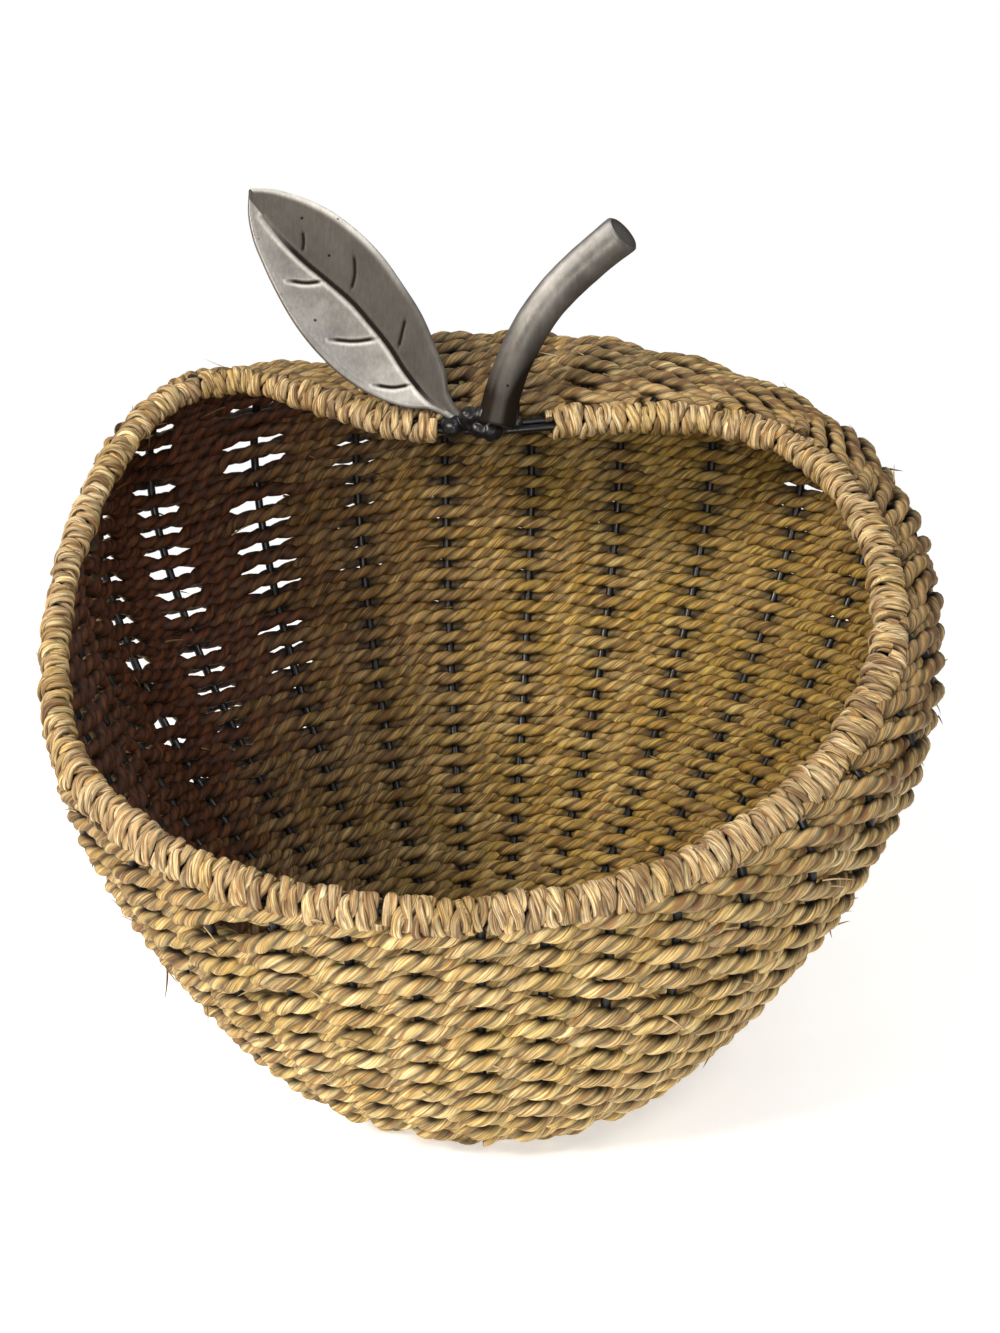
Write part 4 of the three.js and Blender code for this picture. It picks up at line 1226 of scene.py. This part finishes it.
class BASKET_OT_rim_wrap(bpy.types.Operator):
    """Winds a flat bundle of straws round the two wires of the rim"""

    bl_idname = "basket.rim_wrap"
    bl_label = "Rim wrap"

    straws = 4
    flatness = 0.62
    steps_per_turn = 28
    squareness = 0.72  # power that makes the oval round the wires fuller at its corners
    end_room = 1.2 * MM

    def execute(self, context):
        sizes, colours = chosen(context)
        wall = wall_of(context)
        straw_inputs = line_inputs(sizes.straw_width, flat_straw(colours), 9.0,
                                   flatness=self.flatness, step=1.35 * MM, sides=8)
        bare = BARE_RIM / wall.rim_length
        share = (1 - bare) / WRAP_SECTIONS
        for section in range(WRAP_SECTIONS):
            first = wall.dip_share + bare / 2 + section * share
            mesh = path_mesh("wrap", self.wind(wall, first, share, section), wall.centre)
            obj = grow(f"rim_wrap_straws_{section + 1}", mesh, cord_tree(), straw_inputs)
            fit(obj, [f"rim_wrap_{section + 1}"])
        return {"FINISHED"}

    def wind(self, wall, first, share, seed):
        """Straws of one length of the wrap: they swirl round one another and the bundle bulges"""
        sizes = wall.sizes
        length = share * wall.rim_length
        count = round(length / sizes.wrap_pitch)
        pitch = length / count
        turn = np.arange(count * self.steps_per_turn + 1) / self.steps_per_turn
        layer = sizes.straw_width * self.flatness
        wire = sizes.rim_wire_diameter
        half_wide = wire / 2 + CLEARANCE + layer * 0.85
        half_high = wire + WIRE_GAP / 2 + CLEARANCE + layer * 0.85
        cosine, sine = np.cos(TURN * turn), np.sin(TURN * turn)
        across = np.sign(cosine) * np.abs(cosine) ** self.squareness * half_wide
        upright = np.sign(sine) * np.abs(sine) ** self.squareness * half_high
        normal = unit(np.stack([cosine / half_wide, sine / half_high], 1))
        wander = 0.75 * MM * ripple(turn, 60 + seed, 2.3)
        bulge = 0.6 * MM * (ripple(turn, 70 + seed, 1.7) + ripple(turn, 80 + seed, 6.1))
        made = np.random.default_rng(40 + seed)
        lines = []
        for straw in range(self.straws):
            sway = 0.12 * ripple(turn, 50 + 7 * seed + straw, 3.1)
            swirl = TURN * (straw / self.straws + 1.35 * turn + sway)
            side = (pitch / 2 - 0.95 * MM) * np.cos(swirl)
            rise = layer * 0.55 * np.sin(swirl)
            run = np.clip(pitch * turn + side + wander, self.end_room, length - self.end_room)
            centre, upward, outward = wall.rim_frame(first + run / wall.rim_length)
            away = outward * normal[:, :1] + upward * normal[:, 1:]
            points = centre + outward * across[:, None] + upward * upright[:, None]
            size = 1 + 0.16 * ripple(turn, 90 + 5 * seed + straw, 2.9) + made.uniform(-0.1, 0.12)
            tone = (made.uniform(0, 0.3) + 0.2 * ripple(turn, 31 + 3 * straw + seed, 5.3)
                    + 0.35 * ripple(turn, 37 + seed, 2.1))
            olive = 0.06 + 0.2 * ripple(turn, 33 + 3 * straw + seed, 4.0)
            lines.append({
                "points": points + away * (rise + bulge)[:, None], "facing": away, "size": size,
                "tone": np.clip(tone, 0, 0.85), "olive": np.clip(olive, 0, 1),
                "strand": straw * 0.21 + seed * 0.07,
            })
        return lines


class BASKET_OT_weld(bpy.types.Operator):
    """Melts the lumpy drop of metal that holds leaf and stem on the two wires"""

    bl_idname = "basket.weld"
    bl_label = "Crown weld"

    # Lumps: right, back and up from the middle of the drop, and radius, as shares of its length
    lump_shares = [
        (-0.44, 0.0, -0.02, 0.105), (-0.3, 0.0, -0.02, 0.135), (-0.17, -0.02, 0.05, 0.125),
        (-0.05, 0.02, 0.04, 0.12), (0.06, -0.03, 0.03, 0.135), (0.18, 0.0, 0.08, 0.16),
        (0.24, -0.06, 0.0, 0.12), (0.33, 0.02, 0.03, 0.12), (0.43, 0.0, -0.02, 0.08),
        (0.02, -0.09, -0.06, 0.1), (-0.12, -0.08, -0.05, 0.085), (0.14, -0.1, -0.1, 0.09),
        (-0.24, 0.07, -0.02, 0.09), (0.3, 0.1, 0.06, 0.1), (0.2, 0.1, 0.1, 0.12),
        (-0.37, -0.06, -0.06, 0.135), (-0.16, -0.1, 0.1, 0.13), (0.04, -0.12, 0.12, 0.14),
        (0.12, -0.14, -0.08, 0.14), (-0.04, -0.12, -0.06, 0.12), (0.3, -0.08, 0.1, 0.13),
    ]

    def execute(self, context):
        sizes, colours = chosen(context)
        low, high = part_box("crown_weld")
        middle = (np.array(low) + np.array(high)) / 2 - np.array([0, 0, 0.6 * MM])
        form = bmesh.new()
        for right, back, up, radius in self.lump_shares:
            ball = bmesh.ops.create_icosphere(form, subdivisions=3,
                                              radius=radius * sizes.weld_length)
            place = middle + np.array([right, back, up]) * sizes.weld_length
            bmesh.ops.translate(form, verts=ball["verts"], vec=place)
        mesh = bpy.data.meshes.new("weld")
        form.to_mesh(mesh)
        form.free()
        seed = bpy.data.objects.new("weld_lumps", mesh)
        context.scene.collection.objects.link(seed)
        remesh = seed.modifiers.new("Melt", "REMESH")
        remesh.mode = "VOXEL"
        remesh.voxel_size = 0.45 * MM
        smooth = seed.modifiers.new("Flow", "SMOOTH")
        smooth.factor = 0.8
        smooth.iterations = 4
        made = settle(seed)
        for vertex in made.vertices:
            lump = (noise.noise(vertex.co * 420) * 0.35 * MM
                    + noise.noise(vertex.co * 1100) * 0.12 * MM)
            vertex.co += vertex.normal * lump
        face_out(made)
        made.shade_smooth()
        obj = show("weld_lump", made, painted_wire(colours))
        fit(obj, ["crown_weld"])
        return {"FINISHED"}


def smooth_steps(at, places, values):
    """A smooth curve through values at places"""
    at, places, values = (np.asarray(row, float) for row in (at, places, values))
    slopes = np.gradient(values, places)
    index = np.clip(np.searchsorted(places, at) - 1, 0, len(places) - 2)
    width = places[index + 1] - places[index]
    t = np.clip((at - places[index]) / width, 0, 1)
    return ((2 * t ** 3 - 3 * t ** 2 + 1) * values[index]
            + (t ** 3 - 2 * t ** 2 + t) * width * slopes[index]
            + (3 * t ** 2 - 2 * t ** 3) * values[index + 1]
            + (t ** 3 - t ** 2) * width * slopes[index + 1])


def line_distance(points, line):
    """Signed distance of points from a row of points, and the place of the nearest point on it"""
    line = np.asarray(line, float)
    best = np.full(len(points), 1e9)
    sign = np.ones(len(points))
    place = np.zeros(len(points))
    for at, (a, b) in enumerate(zip(line[:-1], line[1:])):
        way = b - a
        t = np.clip(((points - a) @ way) / (way @ way), 0, 1)
        gap = points - (a + t[:, None] * way)
        size = np.linalg.norm(gap, axis=1)
        closer = size < best
        best[closer] = size[closer]
        sign[closer] = np.sign(way[0] * gap[closer, 1] - way[1] * gap[closer, 0])
        place[closer] = (at + t[closer]) / (len(line) - 1)
    return best * sign, place


class BASKET_OT_leaf(bpy.types.Operator):
    """Casts the cupped leaf with its engraved midrib and veins"""

    bl_idname = "basket.leaf"
    bl_label = "Leaf"

    rows, columns = 260, 121
    # Direction of the leaf in the crown plane, and its root, right of and above the crown's foot
    direction = math.radians(132)
    root = np.array([-15, 5]) * MM
    cup_depth, cup_rise = 4.5 * MM, 5 * MM
    # Engraved lines: middle line, half width, depth, and how bright the lip under it is rubbed
    engraving = (
        [(MIDRIB_SHARES, 1.15 * MM, 0.8 * MM, 0.6)]
        + [(vein, 0.75 * MM, 0.55 * MM, 0) for vein in UPPER_VEIN_SHARES]
        + [(vein, 0.8 * MM, 0.6 * MM, 1) for vein in LOWER_VEIN_SHARES]
    )

    def execute(self, context):
        sizes, colours = chosen(context)
        wall = wall_of(context)
        length = sizes.leaf_length
        outline = np.array(LEAF_OUTLINE_SHARES)
        place = np.linspace(-0.05, 1, self.rows)[:, None]
        side = np.linspace(-1, 1, self.columns)
        upper = smooth_steps(place[:, 0], outline[:, 0], outline[:, 1])[:, None]
        lower = smooth_steps(place[:, 0], outline[:, 0], outline[:, 2])[:, None]
        width = np.where(side > 0, side * upper, side * lower) * length
        along = np.repeat(place, self.columns, 1) * length
        groove, dark, lip, above = self.engrave(along, width, length)

        # The front edge is rounded, more so above the midrib, with a low bead beside it
        widest = outline[:, 2].max() * length
        cup = self.cup_depth + self.cup_rise * (width / widest) ** 2
        reach = np.maximum(np.minimum(upper, lower) * length, 1 * MM)
        to_edge = np.minimum((1 - np.abs(side)) * reach, (1.004 - place) * length)
        bevel = np.where(side > 0, 1.3 + 2.2 * np.clip(place * 2, 0, 1), 1.3) * MM
        fold = np.sqrt(1 - (1 - np.clip(to_edge / bevel, 0, 1)) ** 2)
        half = sizes.leaf_thickness / 2
        bead = 0.28 * MM * np.exp(-((to_edge - 1.3 * MM) / (0.7 * MM)) ** 2)
        front = cup - half + half * fold - groove + 0.22 * MM * lip + bead * fold
        back = cup - half - half * fold

        # A painted highlight on the upper edge towards the tip, painted shade on the half above the
        # midrib, painted light on the half below it and most near the root, rubbed lips below the
        # engraved lines, and wax along the lower edge
        painted_edge_highlight = np.exp(-(to_edge / (2.3 * MM)) ** 4) * (side > 0)
        painted_edge_highlight = painted_edge_highlight * np.clip(place * 3 - 0.9, 0.15, 1)
        painted_foot_light = 0.35 * bump(place - 0.16, 0.16)
        wear_and_highlight = np.clip(painted_edge_highlight + 0.95 * lip + (0.24 + painted_foot_light) * (1 - above), 0, 1)
        waxed_edge = 0.75 * np.exp(-(to_edge / (0.6 * MM)) ** 2)
        waxed_edge = waxed_edge * np.where(side < 0, 1, 0.6 * (place < 0.6))
        dark = np.maximum(np.maximum(dark, waxed_edge), 0.6 * above * (1 - painted_edge_highlight))

        foot, across, up, forward = crown_axes(wall)
        cosine, sine = math.cos(self.direction), math.sin(self.direction)
        right = self.root[0] + along * cosine + width * sine
        rise = self.root[1] + along * sine - width * cosine
        plan = foot + right[..., None] * across + rise[..., None] * up
        ring = np.concatenate([plan + front[..., None] * forward,
                               (plan + back[..., None] * forward)[:, ::-1]], 1)
        mesh = grid_mesh("leaf", ring, {
            "dark": np.concatenate([dark, np.full(dark.shape, 0.1)], 1),
            "wear_and_highlight": np.concatenate([wear_and_highlight, np.zeros(wear_and_highlight.shape)], 1),
        }, closed_across=True, caps=True)
        face_out(mesh)
        mesh.shade_smooth()
        brushed = pewter("Antiqued pewter plate", colours, (900, 900, 160))
        fit(show("cast_leaf", mesh, brushed), ["leaf"])
        return {"FINISHED"}

    def engrave(self, along, width, length):
        """Depth of the engraved lines, wax in them, rubbed lips beside them, and how far above
        the midrib each point is"""
        points = np.stack([along, width], -1).reshape(-1, 2)
        groove, dark, lip = (np.zeros(len(points)) for _ in range(3))
        for shares, half, depth, lip_share in self.engraving:
            line = spline([(a * length, b * length, 0) for a, b in shares], False, 12)[:, :2]
            away, at = line_distance(points, line)
            if shares is MIDRIB_SHARES:
                above = 0.5 + 0.5 * np.tanh(away / (0.9 * MM))
            taper = np.clip(np.minimum(at, 1 - at) * 6, 0.25, 1) ** 0.5
            cut = np.exp(-(away / (half * taper)) ** 2 * 1.1)
            groove = np.maximum(groove, depth * taper * cut)
            dark = np.maximum(dark, np.clip(cut * 2.4 - 0.5, 0, 1) * taper)
            beside = np.exp(-((away + half * 1.75) / (half * 0.6)) ** 2)
            lip = np.maximum(lip, beside * taper * lip_share)
        return (values.reshape(along.shape) for values in (groove, dark, lip, above))


class BASKET_OT_stem(bpy.types.Operator):
    """Bends the round stem and cuts its end at a slant"""

    bl_idname = "basket.stem"
    bl_label = "Stem"

    rings, sides = 140, 56
    ahead = 6.5 * MM  # middle of the stem in front of the crown plane
    # Rings of the cut end: share of its radius, millimetres below the rim of the cut, and wax
    cut_rings = ((0.95, 0.0, 0.85), (0.88, 0.3, 0.75), (0.5, 0.5, 0.5), (0.06, 0.55, 0.5))

    def execute(self, context):
        sizes, colours = chosen(context)
        foot, across, up, forward = crown_axes(wall_of(context))
        line = spline([(a * sizes.stem_rise, b * sizes.stem_rise, 0) for a, b in STEM_LINE_SHARES],
                      False)
        line, length = spaced(line, count=self.rings)
        for _ in range(500):
            line[1:-1] = (line[:-2] + 2 * line[1:-1] + line[2:]) / 4
        share = np.linspace(0, 1, self.rings)
        turn = np.linspace(0, TURN, self.sides, endpoint=False)
        tangent = unit(np.gradient(line, axis=0))
        beside = np.stack([tangent[:, 1], -tangent[:, 0]], 1)

        # A slow taper, a fuller foot and a rounded edge at the cut
        first, last = sizes.stem_diameter / 2, sizes.stem_tip_diameter / 2
        radius = first + (last - first) * share ** 2
        radius = radius * (1 + 0.012 * ripple(share, 101, 0.31) + 0.05 * bump(share, 0.12))
        end = np.clip((1 - share) * length / (1.3 * MM), 0, 1)
        radius = radius - 0.9 * MM * (1 - np.sqrt(1 - (1 - end) ** 2))

        # The last third is sheared, so that the cut faces a little forwards
        flat = line[:, None, :2] + beside[:, None] * (radius[:, None] * np.cos(turn))[..., None]
        depth = radius[:, None] * np.sin(turn)
        shear = 0.5 * bump(1 - share, 0.3)[:, None] * depth
        flat = flat - shear[..., None] * tangent[:, None, :2]
        points = (foot + flat[..., :1] * across + flat[..., 1:] * up
                  + (self.ahead + depth)[..., None] * forward)
        tip, middle = points[-1], points[-1].mean(0)
        down = -(tangent[-1, 0] * across + tangent[-1, 1] * up)
        rings = [(middle + (tip - middle) * inset + down * sink * MM)[None]
                 for inset, sink, _ in self.cut_rings]
        points = np.concatenate([points, *rings])

        # Dark wax at the foot and on the cut end, random dark streaks, and painted shade down both
        # sides; a painted highlight along the upper side
        foot_dark = np.clip(1.25 - share * length / (36 * MM), 0, 1) ** 1.2
        streaks_and_side_shade = 0.2 * np.clip(ripple(np.arange(self.sides), 103, 17), 0, 1)
        streaks_and_side_shade = streaks_and_side_shade + 0.55 * bump(turn, 1.8) + 0.45 * bump(turn - 3.4, 0.7)
        dark = np.clip(foot_dark[:, None] * (0.9 + 0.2 * np.sin(turn * 3)) + streaks_and_side_shade, 0, 1)
        cut_wax = np.array([[wax] for _, _, wax in self.cut_rings])
        dark = np.concatenate([dark, np.repeat(cut_wax, self.sides, 1)])
        # Painted highlight along the upper side, from a third of the way up, a little weaker towards
        # the cut
        rubbed = np.exp(-((turn - 2.2) / 0.4) ** 2) * np.clip(share * 2.6 - 0.75, 0, 1)[:, None]
        wear_and_highlight = np.clip(0.06 + rubbed * (1 - 0.35 * share[:, None]), 0, 1)
        wear_and_highlight = np.concatenate([wear_and_highlight, np.zeros((len(self.cut_rings), self.sides))])
        mesh = grid_mesh("stem", points, {"dark": dark, "wear_and_highlight": wear_and_highlight},
                         closed_across=True, caps=True)
        face_out(mesh)
        mesh.shade_smooth()
        brushed = pewter("Brushed pewter rod", colours, (420, 420, 60))
        fit(show("cast_stem", mesh, brushed), ["stem"])
        return {"FINISHED"}


class BASKET_OT_fibres(bpy.types.Operator):
    """Lets short ends of straw stand out of the weave and the wrap"""

    bl_idname = "basket.fibres"
    bl_label = "Stray fibres"

    fibres = 260
    start_depth = 4.6 * MM  # from the middle of the wall to where a fibre leaves it
    points_each = 7

    def execute(self, context):
        colours = chosen(context)[1]
        wall = wall_of(context)
        made = np.random.default_rng(7)
        position = made.uniform(0, STAKE_COUNT, self.fibres)
        height = wall.length_at(position) * made.uniform(0.08, 1.0, self.fibres) ** 0.6
        start = wall.sample(wall.grid, position, height)
        outward = unit(wall.sample(wall.outward, position, height))
        upward = unit(wall.sample(wall.upward, position, height))
        sideways = np.cross(upward, outward)
        run = np.linspace(0, 1, self.points_each)[:, None]
        lines = []
        for at in range(self.fibres):
            side = made.choice([-1, 1], p=[0.45, 0.55])
            out = outward[at] * side
            reach = made.uniform(3, 11) * MM
            lean = made.uniform(0.1, 0.55)
            way = unit(sideways[at] * made.choice([-1, 1]) + upward[at] * made.uniform(-0.5, 0.5)
                       + out * lean)
            curl = out * made.uniform(-0.3, 0.5) - np.array([0, 0, 0.25])
            path = reach * (way * run + curl * 0.5 * run ** 2)
            points = start[at] + out * self.start_depth + path
            lines.append({
                "points": points, "facing": np.repeat(outward[at:at + 1], self.points_each, 0),
                "size": (1 - run[:, 0] ** 2 * 0.9) * made.uniform(0.6, 1.3),
                "tone": made.uniform(0, 0.4), "olive": 0.1, "strand": made.uniform(),
            })
        mesh = path_mesh("fibres", lines, wall.centre)
        obj = grow("stray_fibres", mesh, cord_tree(), line_inputs(
            0.9 * MM, flat_straw(colours), flatness=0.5, step=1.5 * MM, sides=5))
        fit(obj, [])
        return {"FINISHED"}


class BASKET_OT_stage(bpy.types.Operator):
    """Sets the floor, the soft lights and the camera"""

    bl_idname = "basket.stage"
    bl_label = "Stage"

    # Lights: place from the middle of the basket and width in metres, power in watts, and colour
    lights = [
        ("key", (-1.2, -0.75, 1.05), 0.45, 27, "fff6ea"),
        ("front", (0.1, -1.7, 0.5), 0.8, 12, "fffaf2"),
        ("top", (0.6, 0.6, 1.6), 1.0, 4, "ffffff"),
        ("edge", (0.86, -0.55, 1.4), 0.45, 6, "ffffff"),
    ]
    lights_aim = (0, 0, 0.12)
    room_light = 0.31
    floor_reach = 8.0
    # Camera of the photograph: height angle, distance in metres, aim from the middle of the
    # basket, and focal length in pixels of a picture of the given height
    camera_tilt = math.radians(20.5)
    camera_distance = 0.668
    camera_aim_mm = (5.5, 2.1, 143.8)
    focal_pixels, picture_pixels = 1965, 1333
    sensor_width = 36

    def execute(self, context):
        colours = chosen(context)[1]
        centre = wall_of(context).centre
        scene = context.scene
        corners = [(x * self.floor_reach, y * self.floor_reach, 0)
                   for x, y in ((-1, -1), (1, -1), (1, 1), (-1, 1))]
        mesh = bpy.data.meshes.new("floor")
        mesh.from_pydata(corners, [], [(0, 1, 2, 3)])
        show("floor", mesh, floor_paint(colours))

        # White behind the basket, and a much weaker light on it
        world = bpy.data.worlds.new("Soft room")
        scene.world = world
        world.use_nodes = True
        tree = world.node_tree
        tree.nodes.clear()
        room = add(tree, "ShaderNodeBackground", None,
                   {"Color": (1, 1, 1, 1), "Strength": self.room_light})
        white = add(tree, "ShaderNodeBackground", None, {"Color": (1, 1, 1, 1), "Strength": 1.0})
        path = add(tree, "ShaderNodeLightPath")
        mixed = add(tree, "ShaderNodeMixShader",
                    links={0: path.outputs["Is Camera Ray"], 1: room.outputs[0],
                           2: white.outputs[0]})
        add(tree, "ShaderNodeOutputWorld", links={"Surface": mixed.outputs[0]})

        aim = Vector(centre + np.array(self.lights_aim))
        for name, place, size, power, warmth in self.lights:
            lamp = bpy.data.lights.new(name, "AREA")
            lamp.shape = "DISK"
            lamp.size = size
            lamp.energy = power
            lamp.color = linear(warmth)
            obj = bpy.data.objects.new(name, lamp)
            scene.collection.objects.link(obj)
            obj.location = centre + np.array(place)
            obj.rotation_mode = "QUATERNION"
            obj.rotation_quaternion = (obj.location - aim).to_track_quat("Z", "Y")

        back = np.array([0, -math.cos(self.camera_tilt), math.sin(self.camera_tilt)])
        target = centre + np.array(self.camera_aim_mm) * MM
        data = bpy.data.cameras.new("camera")
        data.sensor_fit = "AUTO"
        data.sensor_width = self.sensor_width
        data.lens = self.sensor_width * self.focal_pixels / self.picture_pixels
        camera = bpy.data.objects.new("camera", data)
        scene.collection.objects.link(camera)
        camera.location = target + back * self.camera_distance
        camera.rotation_mode = "QUATERNION"
        camera.rotation_quaternion = Vector(back).to_track_quat("Z", "Y")
        scene.camera = camera
        scene.view_settings.view_transform = "Standard"
        return {"FINISHED"}


PIECES = (
    BASKET_OT_rows, BASKET_OT_base, BASKET_OT_stakes, BASKET_OT_rim_wires, BASKET_OT_rim_wrap,
    BASKET_OT_weld, BASKET_OT_leaf, BASKET_OT_stem, BASKET_OT_fibres, BASKET_OT_stage,
)


class BASKET_PT_panel(bpy.types.Panel):
    """Lists the pieces of the basket and their sizes and colours"""

    bl_idname = "BASKET_PT_panel"
    bl_label = "Apple basket"
    bl_space_type = "VIEW_3D"
    bl_region_type = "UI"
    bl_category = "Basket"

    def draw(self, context):
        layout = self.layout
        for piece in PIECES:
            layout.operator(piece.bl_idname)
        for group in (context.scene.basket_sizes, context.scene.basket_colours):
            box = layout.box()
            for name in property_names(group):
                box.prop(group, name)


CLASSES = (BasketSizes, BasketColours, *PIECES, BASKET_PT_panel)


def register():
    """Makes the settings, the operators and the panel known"""
    for kind in CLASSES:
        bpy.utils.register_class(kind)
    bpy.types.Scene.basket_sizes = bpy.props.PointerProperty(type=BasketSizes)
    bpy.types.Scene.basket_colours = bpy.props.PointerProperty(type=BasketColours)


def unregister():
    """Takes them out again"""
    del bpy.types.Scene.basket_colours
    del bpy.types.Scene.basket_sizes
    for kind in reversed(CLASSES):
        bpy.utils.unregister_class(kind)


def main():
    """Builds the basket piece by piece"""
    register()
    bpy.ops.basket.rows()
    bpy.ops.basket.base()
    bpy.ops.basket.stakes()
    bpy.ops.basket.rim_wires()
    bpy.ops.basket.rim_wrap()
    bpy.ops.basket.weld()
    bpy.ops.basket.leaf()
    bpy.ops.basket.stem()
    bpy.ops.basket.fibres()
    bpy.ops.basket.stage()


if __name__ == "__main__":
    main()
